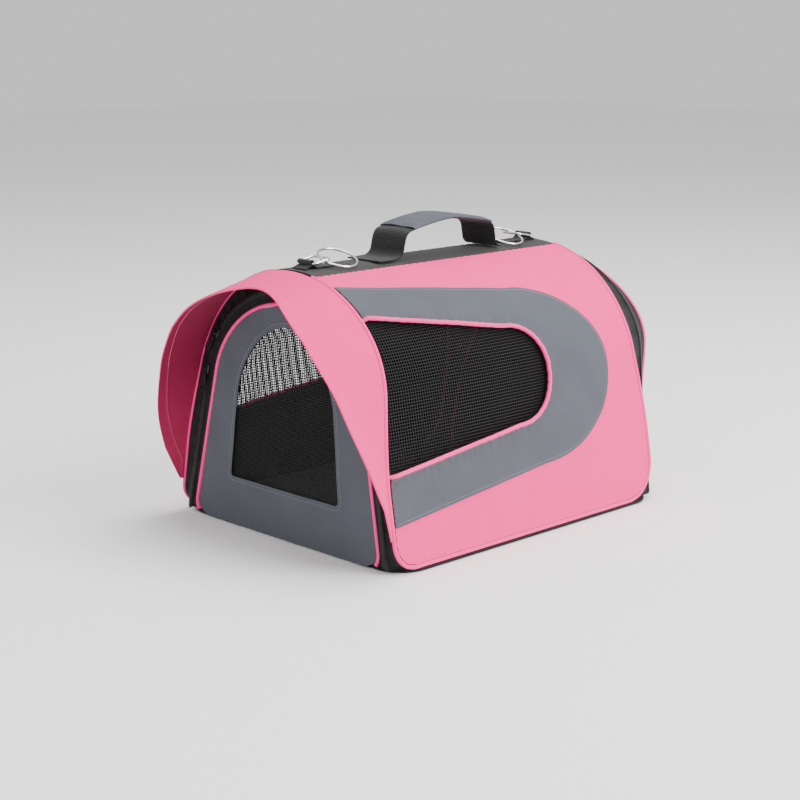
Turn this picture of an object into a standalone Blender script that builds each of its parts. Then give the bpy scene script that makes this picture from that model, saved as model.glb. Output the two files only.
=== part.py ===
"""Soft-sided pet carrier bag with an arched body, zip-round end doors and a hood over the front door.

+X runs along the bag to its rear, -X to the front door, -Y is the near side, +Z is up.
The underside of the base lies on z = 0 and the origin is the centre of the base.
"""
import math

import bpy
import bmesh
from mathutils import Matrix, Vector

# Clearances
GAP = 0.0003
TURNING_GAP = 0.0005

# Arched body section
BASE_HALF_WIDTH = 0.171
SHOULDER_HALF_WIDTH = 0.1425
SHOULDER_HEIGHT = 0.170
RIDGE_HEIGHT = 0.280
SHOULDER_TENSION = 0.060
RIDGE_TENSION = 0.075
CURVED_SHARE = 0.56

# Side panels
PANEL_HALF_LENGTH = 0.182
PANEL_BOW = 0.016
BOW_LOW = 0.070
BOW_SPAN = 0.170
PANEL_THICKNESS = 0.0016
FRONT_CORNER_RADIUS = 0.022
REAR_CORNER_RADIUS = 0.040
STRIP_HALF_WIDTH = 0.034

# Piping
PIPING_RADIUS = 0.0022
PIPING_MITRE_SHARE = 0.10

# Base, board and pad
BASE_THICKNESS = 0.0030
BASE_FRONT_REACH = 0.0
BASE_REAR_REACH = 0.0065
BASE_CORNER_RADIUS = 0.034
BOARD_THICKNESS = 0.0030
BOARD_MARGIN = 0.0100
PAD_THICKNESS = 0.0140
PAD_MARGIN = 0.0140
PAD_CORNER_RADIUS = 0.024

# Side windows: a nose pointing to the rear, with two arms that run to the front edge
WINDOW_TIP_X = 0.0413
WINDOW_JOIN_X = -0.010
WINDOW_MID_HEIGHT = 0.165
WINDOW_RISE = 0.050
WINDOW_DROP = 0.048
WINDOW_TOP_SLOPE = -0.155
WINDOW_BOTTOM_SLOPE = 0.110
WINDOW_POWER = 2.2
MESH_THICKNESS = 0.0008

# Sideways-U bands sewn over the side panels
BAND_TIP_X = 0.142
BAND_JOIN_X = 0.030
BAND_MID_HEIGHT = 0.158
BAND_RISE = 0.0895
BAND_DROP = 0.0865
BAND_TOP_SLOPE = -0.098
BAND_BOTTOM_SLOPE = 0.107
BAND_POWER = 2.0
BAND_THICKNESS = 0.0010

# End doors and the zip gussets round them
DOOR_INSET_LOW = 0.0270
DOOR_INSET_RATE = 0.0360
FRONT_DOOR_REACH = 0.0030
FRONT_DOOR_LEAN = 0.045
REAR_DOOR_REACH = 0.0095
REAR_DOOR_BULGE = 0.0270
REAR_BULGE_HEIGHT = 0.190
REAR_BULGE_SPREAD = 0.070
REAR_INSET_LOW = 0.0210
REAR_INSET_RATE = -0.0350
DOOR_BOTTOM = 0.0042
DOOR_CORNER_RADIUS = 0.014
DOOR_HINGE_HEIGHT = 0.0037
FRONT_ZIP_INSET_SHARE = 0.56
REAR_ZIP_INSET_SHARE = 0.46
REAR_ZIP_REACH_SHARE = 0.58
ZIP_FRONT_REACH = 0.0050
ZIP_FRONT_LEAN = 0.052
TAPE_THICKNESS = 0.0012
TAPE_CLEARANCE = 0.00038
TEETH_WIDTH = 0.0031
TEETH_THICKNESS = 0.0020

# Door windows
DOOR_WINDOW_BOTTOM = 0.0535
DOOR_WINDOW_HALF_WIDTH = 0.084
DOOR_WINDOW_SHOULDER_HALF_WIDTH = 0.075
DOOR_WINDOW_SHOULDER = 0.140
DOOR_WINDOW_TOP = 0.2225
DOOR_WINDOW_POWER = 1.75

# Hood
HOOD_DEPTH = 0.068
HOOD_DIP = 0.024
HOOD_DIP_HALF_WIDTH = 0.100
HOOD_TIP_HEIGHT = 0.030
HOOD_START_HEIGHT = 0.036
HOOD_FULL_HEIGHT = 0.226
HOOD_CURVE = 1.28
HOOD_THICKNESS = 0.0020
HOOD_FLARE = 0.014
HOOD_DROOP = 0.0135
FLARE_LOW = 0.085
FLARE_HIGH = 0.240

# Zip sliders and pulls
SLIDER_LENGTH = 0.0110
SLIDER_WIDTH = 0.0080
SLIDER_THICKNESS = 0.0026
CHEEK_LENGTH = 0.0040
CHEEK_WIDTH = 0.0014
CHEEK_HEIGHT = 0.0026
NECK_WIDTH = 0.0024
PULL_LENGTH = 0.0250
PULL_WIDTH = 0.0080
PULL_THICKNESS = 0.0014
PULL_HOLE_RADIUS = 0.0024
LOW_SLIDER_HEIGHT = 0.166
HIGH_SLIDER_HEIGHT = 0.214
REAR_SLIDER_HEIGHT = 0.190

# Carry handle
WEBBING_HALF_WIDTH = 0.025
WEBBING_THICKNESS = 0.0015
HANDLE_FRONT_X = -0.049
HANDLE_REAR_X = 0.0905
HANDLE_TAIL = 0.036
REAR_TAIL = 0.011
HANDLE_CROWN = 0.0395
GRIP_CORNER_HEIGHT = 0.0300
GRIP_OVERHANG = 0.0025
GRIP_THICKNESS = 0.0064

# Ring tabs and rings
TAB_SETBACK = 0.017
TAB_HALF_WIDTH = 0.010
TAB_OUTER_LENGTH = 0.010
TAB_INNER_LENGTH = 0.042
TAB_THICKNESS = 0.0015
TAB_LOOP_WALL = 0.0022
RING_WIRE_RADIUS = 0.0013
BAR_RING_HALF_WIDTH = 0.0130
BAR_RING_LENGTH = 0.022
BAR_RING_CORNER = 0.0040
BAR_RING_LIFT_DEG = 10.0
ROUND_RING_RADIUS = 0.0210
ROUND_RING_OFFSET = 0.0380
ROUND_RING_SIDE = -0.006
ROUND_RING_RISE = 0.0023
RING_CROSSING_RUN = 0.0071434

# Sizes that follow from those above
PANEL_BOTTOM = BASE_THICKNESS + 2.0 * (GAP + PIPING_RADIUS)
PIPING_STEP = PIPING_RADIUS + GAP
FOOT_HALF_LENGTH = PANEL_HALF_LENGTH + PANEL_BOW
BASE_FRONT_LENGTH = FOOT_HALF_LENGTH + BASE_FRONT_REACH
BASE_REAR_LENGTH = FOOT_HALF_LENGTH + BASE_REAR_REACH
FRONT_DOOR_X = FOOT_HALF_LENGTH + FRONT_DOOR_REACH
REAR_DOOR_X = FOOT_HALF_LENGTH + REAR_DOOR_REACH
ZIP_FRONT_X = FOOT_HALF_LENGTH + ZIP_FRONT_REACH
GRIP_HALF_WIDTH = WEBBING_HALF_WIDTH + GRIP_OVERHANG
TAB_X = PANEL_HALF_LENGTH - TAB_SETBACK
TAB_LOOP_RADIUS = RING_WIRE_RADIUS + TURNING_GAP + TAB_LOOP_WALL
BAR_HEIGHT = GAP + TAB_THICKNESS + TAB_LOOP_RADIUS
TAPE_STOP = PIPING_RADIUS * (1.0 + PIPING_MITRE_SHARE) + TAPE_CLEARANCE

COLOURS = {
    "pink": ((0.91, 0.24, 0.42, 1.0), 0.75, 0.0),
    "gray": ((0.13, 0.15, 0.165, 1.0), 0.80, 0.0),
    "black": ((0.018, 0.018, 0.020, 1.0), 0.80, 0.0),
    "mesh": ((0.012, 0.012, 0.013, 1.0), 0.85, 0.0),
    "pad": ((0.30, 0.31, 0.33, 1.0), 0.90, 0.0),
    "board": ((0.10, 0.10, 0.10, 1.0), 0.85, 0.0),
    "plastic": ((0.020, 0.020, 0.022, 1.0), 0.45, 0.0),
    "chrome": ((0.80, 0.80, 0.82, 1.0), 0.18, 1.0),
}


# ---- materials and objects ----

def new_material(name, look):
    colour, roughness, metallic = COLOURS[look]
    material = bpy.data.materials.new(name)
    material.use_nodes = True
    shader = material.node_tree.nodes["Principled BSDF"]
    shader.inputs["Base Color"].default_value = colour
    shader.inputs["Roughness"].default_value = roughness
    shader.inputs["Metallic"].default_value = metallic
    return material


def new_object(name, data, look, pivot=None, parent=None):
    """Link an object whose data is in world places, with its own origin at the pivot."""
    item = bpy.data.objects.new(name, data)
    bpy.context.scene.collection.objects.link(item)
    base = parent.matrix_world.translation.copy() if parent else Vector((0.0, 0.0, 0.0))
    spot = Vector(pivot) if pivot is not None else base
    data.transform(Matrix.Translation(-spot))
    item.location = spot - base
    if parent:
        item.parent = parent
    if look:
        data.materials.append(new_material(name + "_material", look))
    bpy.context.view_layer.update()
    return item


def new_empty(name, spot, parent=None):
    item = bpy.data.objects.new(name, None)
    bpy.context.scene.collection.objects.link(item)
    base = parent.matrix_world.translation.copy() if parent else Vector((0.0, 0.0, 0.0))
    item.location = Vector(spot) - base
    item.parent = parent
    item.empty_display_size = 0.02
    bpy.context.view_layer.update()
    return item


def sheet_mesh(name, rows):
    """A grid of quads through rows of points, with coincident points joined."""
    mesh = bpy.data.meshes.new(name)
    work = bmesh.new()
    grid = [[work.verts.new(point) for point in row] for row in rows]
    for lower, upper in zip(grid[:-1], grid[1:]):
        for k in range(len(lower) - 1):
            work.faces.new((lower[k], lower[k + 1], upper[k + 1], upper[k]))
    bmesh.ops.remove_doubles(work, verts=work.verts, dist=0.000005)
    bmesh.ops.recalc_face_normals(work, faces=work.faces)
    work.to_mesh(mesh)
    work.free()
    return mesh


def add_sheet(name, rows, thickness, look, pivot=None, parent=None):
    item = new_object(name, sheet_mesh(name, rows), look, pivot, parent)
    solid = item.modifiers.new("thickness", "SOLIDIFY")
    solid.thickness = thickness
    solid.offset = 0.0
    return item


def prism_mesh(name, outline, origin, first_axis, second_axis, normal, low, high):
    """Extrude a flat outline between two distances along a normal."""
    mesh = bpy.data.meshes.new(name)
    work = bmesh.new()
    base = Vector(origin)
    a, b, n = Vector(first_axis), Vector(second_axis), Vector(normal)
    ring = [work.verts.new(base + a * p[0] + b * p[1] + n * low) for p in outline]
    face = work.faces.new(ring)
    made = bmesh.ops.extrude_face_region(work, geom=[face])
    tops = [g for g in made["geom"] if isinstance(g, bmesh.types.BMVert)]
    bmesh.ops.translate(work, verts=tops, vec=n * (high - low))
    bmesh.ops.recalc_face_normals(work, faces=work.faces)
    work.to_mesh(mesh)
    work.free()
    return mesh


def hide_cutter(item):
    item.hide_render = True
    item.display_type = "WIRE"
    return item


def add_cutter(name, outline, origin, first_axis, second_axis, normal, low, high):
    mesh = prism_mesh(name, outline, origin, first_axis, second_axis, normal, low, high)
    return hide_cutter(new_object(name, mesh, None))


def cut(item, cutter, operation):
    step = item.modifiers.new(operation.lower(), "BOOLEAN")
    step.operation = operation
    step.solver = "EXACT"
    step.object = cutter


def add_tube(name, points, radius, look, closed=False, resolution=1, pivot=None, parent=None):
    data = bpy.data.curves.new(name, "CURVE")
    data.dimensions = "3D"
    data.bevel_depth = radius
    data.bevel_resolution = resolution
    data.use_fill_caps = True
    spline = data.splines.new("POLY")
    spline.points.add(len(points) - 1)
    for spot, point in zip(spline.points, points):
        spot.co = (point[0], point[1], point[2], 1.0)
    spline.use_cyclic_u = closed
    return new_object(name, data, look, pivot, parent)


# ---- the arched section ----

def half_arch(share):
    """Point and outward normal of the half section; share 0 is the ridge and 1 is the base."""
    shoulder = Vector((SHOULDER_HALF_WIDTH, SHOULDER_HEIGHT))
    base = Vector((BASE_HALF_WIDTH, 0.0))
    up_side = (shoulder - base).normalized()
    if share >= CURVED_SHARE:
        t = (share - CURVED_SHARE) / (1.0 - CURVED_SHARE)
        point = shoulder + (base - shoulder) * t
        tangent = -up_side
    else:
        p0 = Vector((0.0, RIDGE_HEIGHT))
        p1 = Vector((RIDGE_TENSION, RIDGE_HEIGHT))
        p2 = shoulder + up_side * SHOULDER_TENSION
        p3 = shoulder
        t = share / CURVED_SHARE
        r = 1.0 - t
        point = p0 * r ** 3 + p1 * 3.0 * r * r * t + p2 * 3.0 * r * t * t + p3 * t ** 3
        tangent = (p1 - p0) * r * r + (p2 - p1) * 2.0 * r * t + (p3 - p2) * t * t
        tangent.normalize()
    return point, Vector((-tangent.y, tangent.x))


def skin(x, share, side, lift):
    """A point over the arched surface, moved out along its normal by the lift."""
    point, normal = half_arch(share)
    out = point + normal * lift
    return Vector((x, side * out.x, out.y))


def share_at_height(height):
    low, high = 0.0, 1.0
    for _ in range(48):
        middle = 0.5 * (low + high)
        if half_arch(middle)[0].y > height:
            low = middle
        else:
            high = middle
    return 0.5 * (low + high)


def share_at_width(width):
    low, high = 0.0, CURVED_SHARE
    for _ in range(48):
        middle = 0.5 * (low + high)
        if half_arch(middle)[0].x < width:
            low = middle
        else:
            high = middle
    return 0.5 * (low + high)


def bow_at(height):
    t = min(max((height - BOW_LOW) / BOW_SPAN, 0.0), 1.0)
    return PANEL_BOW * 0.5 * (1.0 + math.cos(math.pi * t))


def edge_reach(height, radius, grow):
    """Half length of a side panel at a height, for the panel outline grown by a distance."""
    reach = PANEL_HALF_LENGTH + bow_at(height) + grow
    rise = height - (PANEL_BOTTOM - grow)
    corner = radius + grow
    if rise < corner:
        inner = corner - max(rise, 0.0)
        reach -= corner - math.sqrt(max(corner * corner - inner * inner, 0.0))
    return reach


def front_edge(height, grow=0.0):
    return -edge_reach(height, FRONT_CORNER_RADIUS, grow)


def rear_edge(height, grow=0.0):
    return edge_reach(height, REAR_CORNER_RADIUS, grow)


def spread(first, last, count):
    return [first + (last - first) * k / (count - 1) for k in range(count)]


def panel_heights():
    """Heights of the rows through the rounded lower corners, closer together near the base."""
    rows = []
    for k in range(7):
        angle = math.radians(90.0 * k / 6)
        rows.append(PANEL_BOTTOM + REAR_CORNER_RADIUS * (1.0 - math.cos(angle)))
    return rows


def side_rows(side, lift, top_share):
    shares = spread(top_share, share_at_height(SHOULDER_HEIGHT), 11)
    shares += spread(share_at_height(SHOULDER_HEIGHT), share_at_height(panel_heights()[-1]), 6)[1:]
    shares += [share_at_height(z) for z in reversed(panel_heights()[:-1])]
    rows = []
    for share in shares:
        height = half_arch(share)[0].y
        xs = spread(front_edge(height), rear_edge(height), 4)
        rows.append([skin(x, share, side, lift) for x in xs])
    return rows


# ---- outlines of windows and bands ----

def nose_outline(front_x, join_x, tip_x, middle, rise, drop, top_slope, bottom_slope, power):
    """Points (x, z) from the upper front end, round the nose, to the lower front end."""
    points = [(front_x, middle + rise + top_slope * (front_x - join_x))]
    count = 22
    for k in range(count + 1):
        angle = math.pi * (0.5 - k / count)
        c, s = math.cos(angle), math.sin(angle)
        x = join_x + (tip_x - join_x) * abs(c) ** (2.0 / power)
        high = rise if s > 0.0 else drop
        points.append((x, middle + math.copysign(high * abs(s) ** (2.0 / power), s)))
    points.append((front_x, middle - drop + bottom_slope * (front_x - join_x)))
    return points


def offset_outline(points, distance):
    """Move an open outline, wound clockwise, sideways by a distance."""
    moved = []
    last = len(points) - 1
    for k, point in enumerate(points):
        before = Vector(points[max(k - 1, 0)])
        after = Vector(points[min(k + 1, last)])
        run = (after - before).normalized()
        moved.append((point[0] - run.y * distance, point[1] + run.x * distance))
    return moved


def window_outline(front_x, grow):
    points = nose_outline(front_x, WINDOW_JOIN_X, WINDOW_TIP_X, WINDOW_MID_HEIGHT, WINDOW_RISE,
                          WINDOW_DROP, WINDOW_TOP_SLOPE, WINDOW_BOTTOM_SLOPE, WINDOW_POWER)
    return offset_outline(points, grow)


def band_outline(front_x):
    return nose_outline(front_x, BAND_JOIN_X, BAND_TIP_X, BAND_MID_HEIGHT, BAND_RISE, BAND_DROP,
                        BAND_TOP_SLOPE, BAND_BOTTOM_SLOPE, BAND_POWER)


def side_cutter(name, side, outline):
    near = side * 0.5 * STRIP_HALF_WIDTH
    far = side * (BASE_HALF_WIDTH + 0.050)
    return add_cutter(name, outline, (0, 0, 0), (1, 0, 0), (0, 0, 1), (0, 1, 0), near, far)


def add_side(prefix, side):
    past_front = -(PANEL_HALF_LENGTH + PANEL_BOW + 0.030)
    strip_edge = share_at_width(STRIP_HALF_WIDTH + 0.5 * GAP)
    hole = side_cutter(prefix + "_window_cutter", side, window_outline(past_front, 0.0))
    fill = side_cutter(prefix + "_mesh_cutter", side, window_outline(past_front, -GAP))
    wide = side_cutter(prefix + "_band_hole_cutter", side, window_outline(past_front, PIPING_STEP))
    band = side_cutter(prefix + "_band_cutter", side, band_outline(past_front))

    panel = add_sheet(prefix + "_side_panel", side_rows(side, -0.5 * PANEL_THICKNESS, strip_edge),
                      PANEL_THICKNESS, "pink")
    cut(panel, hole, "DIFFERENCE")

    mesh = add_sheet(prefix + "_window_mesh", side_rows(side, -0.5 * PANEL_THICKNESS, strip_edge),
                     MESH_THICKNESS, "mesh")
    cut(mesh, fill, "INTERSECT")

    lift = GAP + 0.5 * BAND_THICKNESS
    patch = add_sheet(prefix + "_gray_band", side_rows(side, lift, strip_edge), BAND_THICKNESS, "gray")
    cut(patch, band, "INTERSECT")
    cut(patch, wide, "DIFFERENCE")

    path = window_outline(past_front, 0.0)
    ends = [meet_front_edge(path[1], path[0]), meet_front_edge(path[-2], path[-1])]
    upper = [Vector(ends[0]).lerp(Vector(path[1]), k / 8) for k in range(8)]
    lower = [Vector(path[-2]).lerp(Vector(ends[1]), k / 8) for k in range(1, 9)]
    route = upper + [Vector(p) for p in path[1:-1]] + lower
    points = [skin(p.x, share_at_height(p.y), side, PIPING_STEP) for p in route]
    add_tube(prefix + "_window_piping", points, PIPING_RADIUS, "pink")

    add_tube(prefix + "_edge_piping", edge_piping_path(side), PIPING_RADIUS, "pink")


def meet_front_edge(inner, outer):
    """Shorten a run so that it ends at the panel's front edge."""
    low, high = 0.0, 1.0
    for _ in range(40):
        middle = 0.5 * (low + high)
        x = inner[0] + (outer[0] - inner[0]) * middle
        z = inner[1] + (outer[1] - inner[1]) * middle
        if x > front_edge(z):
            low = middle
        else:
            high = middle
    return (inner[0] + (outer[0] - inner[0]) * low, inner[1] + (outer[1] - inner[1]) * low)


def edge_piping_path(side):
    """From the ridge down the front edge, along the base and up the rear edge to the ridge."""
    lift = -0.5 * PANEL_THICKNESS
    floor = PANEL_BOTTOM - PIPING_STEP
    points = []
    for sign, radius in ((-1.0, FRONT_CORNER_RADIUS), (1.0, REAR_CORNER_RADIUS)):
        corner = radius + PIPING_STEP
        start = share_at_width(1.5 * GAP)
        shares = spread(start, share_at_height(floor + corner), 20)
        run = []
        for share in shares:
            height = half_arch(share)[0].y
            run.append(skin(sign * edge_reach(height, radius, PIPING_STEP), share, side, lift))
        centre_x = PANEL_HALF_LENGTH + bow_at(floor + corner) + PIPING_STEP - corner
        for k in range(1, 7):
            angle = math.radians(90.0 * k / 6)
            x = centre_x + corner * math.cos(angle)
            z = floor + corner * (1.0 - math.sin(angle))
            run.append(skin(sign * x, share_at_height(z), side, lift))
        points.append(run)
    start, end = points[0][-1], points[1][-1]
    middle = [start.lerp(end, k / 8) for k in range(1, 8)]
    return points[0] + middle + list(reversed(points[1]))


# ---- ends: gusset, zip and door ----

def inset_at(end, height):
    if end < 0:
        return DOOR_INSET_LOW + DOOR_INSET_RATE * height
    return REAR_INSET_LOW + REAR_INSET_RATE * height * max(0.0, 1.0 - height / RIDGE_HEIGHT)


def door_x(end, height):
    if end < 0:
        return -(FRONT_DOOR_X - FRONT_DOOR_LEAN * height)
    t = (height - REAR_BULGE_HEIGHT) / REAR_BULGE_SPREAD
    return REAR_DOOR_X + REAR_DOOR_BULGE * math.exp(-t * t)


def door_rim(end, share, side, grow):
    """A point on the door's outline grown by a distance, on the door's surface."""
    height = half_arch(share)[0].y
    point = skin(0.0, share, side, -(inset_at(end, height) - grow))
    rise = point.z - (DOOR_BOTTOM - grow)
    corner = DOOR_CORNER_RADIUS + grow
    if rise < corner:
        inner = corner - max(rise, 0.0)
        point.y -= side * (corner - math.sqrt(max(corner * corner - inner * inner, 0.0)))
    point.x = door_x(end, point.z)
    return point


def edge_piping_centre(end, share, side):
    height = max(half_arch(share)[0].y, PANEL_BOTTOM - PIPING_STEP)
    x = front_edge(height, PIPING_STEP) if end < 0 else rear_edge(height, PIPING_STEP)
    return skin(x, share, side, -0.5 * PANEL_THICKNESS)


def door_piping_centre(end, share, side):
    return door_rim(end, share, side, PIPING_STEP)


def zip_line(end, share, side):
    """The middle of the zip, straight from the base up to the shoulder at the front end."""
    height = half_arch(share)[0].y
    inset_share = FRONT_ZIP_INSET_SHARE if end < 0 else REAR_ZIP_INSET_SHARE
    point = skin(0.0, share, side, -inset_share * inset_at(end, height))
    if end < 0:
        point.x = -(ZIP_FRONT_X - ZIP_FRONT_LEAN * point.z)
    else:
        inner_x = rear_edge(max(height, PANEL_BOTTOM + REAR_CORNER_RADIUS), PIPING_STEP)
        outer_x = door_piping_centre(end, share, side).x
        point.x = inner_x + (outer_x - inner_x) * REAR_ZIP_REACH_SHARE
    return point


def across_zip(end, share, side):
    """From the edge piping to the door piping; it keeps one direction where the front zip is straight."""
    held = min(share, CURVED_SHARE) if end < 0 else share
    return door_piping_centre(end, held, side) - edge_piping_centre(end, held, side)


def lowest_share(curve, end, floor):
    """The share at which a curve of the end comes down to the floor height."""
    low, high = CURVED_SHARE, 1.2
    for _ in range(48):
        middle = 0.5 * (low + high)
        if curve(end, middle, 1).z > floor:
            low = middle
        else:
            high = middle
    return 0.5 * (low + high)


def end_shares(curve, end, floor):
    lowest = lowest_share(curve, end, floor)
    lift = share_at_height(PANEL_BOTTOM + REAR_CORNER_RADIUS)
    shares = spread(lowest, lift, 10) + spread(lift, CURVED_SHARE, 5)[1:]
    return shares + spread(CURVED_SHARE, 0.0, 11)[1:]


def end_curve(curve, end, floor):
    """Points of a curve from the near base, over the ridge, to the far base."""
    points = [curve(end, share, -1) for share in end_shares(curve, end, floor)]
    return points + [Vector((p.x, -p.y, p.z)) for p in reversed(points[:-1])]


def tangent_at(points, k):
    return (points[min(k + 1, len(points) - 1)] - points[max(k - 1, 0)]).normalized()


def gusset_lines(end):
    """Edge, zip and door lines of the gusset, with the directions across the zip to each."""
    floor = max(BASE_THICKNESS + 1.4 * TEETH_THICKNESS, PANEL_BOTTOM - PIPING_STEP + GAP)
    edge = end_curve(edge_piping_centre, end, floor)
    middle = end_curve(zip_line, end, floor)
    door = end_curve(door_piping_centre, end, floor)
    shares = end_shares(zip_line, end, floor)
    wides = [across_zip(end, share, -1) for share in shares]
    wides += [Vector((wide.x, -wide.y, wide.z)) for wide in reversed(wides[:-1])]
    lines = []
    for k, centre in enumerate(middle):
        along = tangent_at(middle, k)
        wide = wides[k]
        across = (wide - along * wide.dot(along)).normalized()
        sides = []
        for line, sign in ((edge, -1.0), (door, 1.0)):
            run = line[k] - centre
            rim_along = tangent_at(line, k)
            square = (run - rim_along * run.dot(rim_along)).normalized()
            sides.append((across * sign, line[k] - square * TAPE_STOP))
        lines.append((centre, sides))
    return lines


def teeth_rows(end, which):
    rows = []
    for centre, sides in gusset_lines(end):
        across = sides[which][0]
        rows.append([centre + across * 0.5 * GAP, centre + across * (TEETH_WIDTH - 0.5 * GAP)])
    return rows


def tape_rows(end, which):
    rows = []
    for centre, sides in gusset_lines(end):
        across, start = sides[which]
        rows.append([centre + across * (TEETH_WIDTH + 1.5 * GAP), start])
    return rows


def door_edge(end, share, side):
    return door_rim(end, share, side, 0.0)


def door_rows(end):
    rims = end_curve(door_edge, end, DOOR_BOTTOM)
    half = len(rims) // 2 + 1
    return [[Vector((rim.x, y, rim.z)) for y in spread(-abs(rim.y), abs(rim.y), 4)] for rim in rims[:half]]


def door_window_outline(grow):
    half, shoulder = DOOR_WINDOW_HALF_WIDTH + grow, DOOR_WINDOW_SHOULDER_HALF_WIDTH + grow
    rise = DOOR_WINDOW_TOP + grow - DOOR_WINDOW_SHOULDER
    radius = 0.004 + grow
    bottom = DOOR_WINDOW_BOTTOM - grow
    right = [(half - radius + radius * math.sin(a), bottom + radius - radius * math.cos(a))
             for a in (math.radians(30.0 * k) for k in range(4))]
    count = 14
    for k in range(count + 1):
        angle = 0.5 * math.pi * k / count
        y = shoulder * math.cos(angle) ** (2.0 / DOOR_WINDOW_POWER) if k < count else 0.0
        z = DOOR_WINDOW_SHOULDER + rise * math.sin(angle) ** (2.0 / DOOR_WINDOW_POWER)
        right.append((y, z))
    return right + [(-y, z) for y, z in reversed(right[:-1])]


def add_end(prefix, end, panel_look):
    hinge_x = door_x(end, DOOR_HINGE_HEIGHT)
    pivot = new_empty(prefix + "_door_pivot", (hinge_x, 0.0, DOOR_HINGE_HEIGHT))
    add_sheet(prefix + "_gusset_body_tape", tape_rows(end, 0), TAPE_THICKNESS, "black")
    add_sheet(prefix + "_zip_body_teeth", teeth_rows(end, 0), TEETH_THICKNESS, "black")
    add_sheet(prefix + "_zip_door_teeth", teeth_rows(end, 1), TEETH_THICKNESS, "black", parent=pivot)
    add_sheet(prefix + "_gusset_door_tape", tape_rows(end, 1), TAPE_THICKNESS, "black", parent=pivot)
    near, far = sorted((hinge_x - end * 0.030, hinge_x + end * 0.050))
    frame = ((0, 0, 0), (0, 1, 0), (0, 0, 1), (1, 0, 0), near, far)
    hole = add_cutter(prefix + "_door_window_cutter", door_window_outline(0.0), *frame)
    fill = add_cutter(prefix + "_door_mesh_cutter", door_window_outline(-GAP), *frame)
    panel = add_sheet(prefix + "_door_panel", door_rows(end), PANEL_THICKNESS, panel_look, parent=pivot)
    cut(panel, hole, "DIFFERENCE")
    mesh = add_sheet(prefix + "_door_mesh", door_rows(end), MESH_THICKNESS, "mesh", parent=pivot)
    cut(mesh, fill, "INTERSECT")
    path = end_curve(door_piping_centre, end, DOOR_BOTTOM)
    add_tube(prefix + "_door_piping", path, PIPING_RADIUS, "pink", parent=pivot)
    return pivot


# ---- zip sliders and pulls ----

def zip_frame(end, height, side):
    """Centre, downward tangent, across direction and outward normal of the zip at a height."""
    share = share_at_height(height)
    centre = zip_line(end, share, side)
    step = 0.004
    above, below = zip_line(end, share - step, side), zip_line(end, share + step, side)
    down = (below - above).normalized()
    across = across_zip(end, share, side)
    out = down.cross(across).normalized()
    if out.x * end < 0.0:
        out = -out
    across = out.cross(down).normalized()
    return centre, down, across, out


def box_mesh(name, boxes):
    """Boxes given as (centre, size) in a local frame, kept as separate shells."""
    mesh = bpy.data.meshes.new(name)
    work = bmesh.new()
    for centre, size in boxes:
        made = bmesh.ops.create_cube(work, size=1.0)
        bmesh.ops.scale(work, verts=made["verts"], vec=size)
        bmesh.ops.translate(work, verts=made["verts"], vec=centre)
    work.to_mesh(mesh)
    work.free()
    return mesh


def pull_outline():
    """Outline in the pull's own plane: a neck at the pivot and a round-ended plate below."""
    neck_end = 0.5 * PULL_THICKNESS + GAP
    half_neck, half = 0.5 * NECK_WIDTH, 0.5 * PULL_WIDTH
    shoulder = 0.0050
    points = [(-neck_end, -half_neck), (shoulder - 0.002, -half_neck), (shoulder, -half)]
    centre = PULL_LENGTH - half
    for k in range(9):
        angle = math.radians(-90.0 + 180.0 * k / 8)
        points.append((centre + half * math.cos(angle), half * math.sin(angle)))
    points += [(shoulder, half), (shoulder - 0.002, half_neck), (-neck_end, half_neck)]
    return points


def add_slider(prefix, end, height, side, parent):
    centre, down, across, out = zip_frame(end, height, side)
    seat = centre + out * (0.5 * TEETH_THICKNESS + GAP)
    turn = Matrix((down, across, out)).transposed().to_4x4()
    size = Vector((SLIDER_LENGTH, SLIDER_WIDTH, SLIDER_THICKNESS))
    body = (Vector((0.0, 0.0, 0.5 * SLIDER_THICKNESS)), size)
    gap_half = 0.5 * NECK_WIDTH + GAP
    top = SLIDER_THICKNESS + CHEEK_HEIGHT
    sink = 0.0005
    cheeks = []
    for sign in (-1.0, 1.0):
        spot = Vector((0.0, sign * (gap_half + 0.5 * CHEEK_WIDTH), 0.5 * (SLIDER_THICKNESS - sink + top)))
        cheeks.append((spot, Vector((CHEEK_LENGTH, CHEEK_WIDTH, CHEEK_HEIGHT + sink))))
    base = parent.matrix_world.translation

    slider = new_object(prefix + "_slider", box_mesh(prefix + "_slider", [body]), "plastic")
    rounding = slider.modifiers.new("rounding", "BEVEL")
    rounding.width = 0.0007
    rounding.segments = 2
    guide = hide_cutter(new_object(prefix + "_cheeks", box_mesh(prefix + "_cheeks", cheeks), None))
    for item in (slider, guide):
        item.parent = parent
        item.matrix_local = Matrix.Translation(seat - base) @ turn
    cut(slider, guide, "UNION")

    axis_height = SLIDER_THICKNESS + CHEEK_HEIGHT - 0.0010
    pin = seat + out * axis_height
    outline = pull_outline()
    half = 0.5 * PULL_THICKNESS
    mesh = prism_mesh(prefix + "_pull", outline, (0, 0, 0), (1, 0, 0), (0, 1, 0), (0, 0, 1), -half, half)
    pull = new_object(prefix + "_pull", mesh, "plastic")
    eye = PULL_LENGTH - 0.5 * PULL_WIDTH
    circle = [(eye + PULL_HOLE_RADIUS * math.cos(a), PULL_HOLE_RADIUS * math.sin(a))
              for a in (math.radians(30.0 * k) for k in range(12))]
    hole = add_cutter(prefix + "_pull_hole", circle, (0, 0, 0), (1, 0, 0), (0, 1, 0), (0, 0, 1), -0.01, 0.01)
    for item in (pull, hole):
        item.parent = parent
        item.matrix_local = Matrix.Translation(pin - base) @ turn
    cut(pull, hole, "DIFFERENCE")


# ---- hood ----

def smooth_step(value, low, high):
    t = min(max((value - low) / (high - low), 0.0), 1.0)
    return t * t * (3.0 - 2.0 * t)


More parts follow.
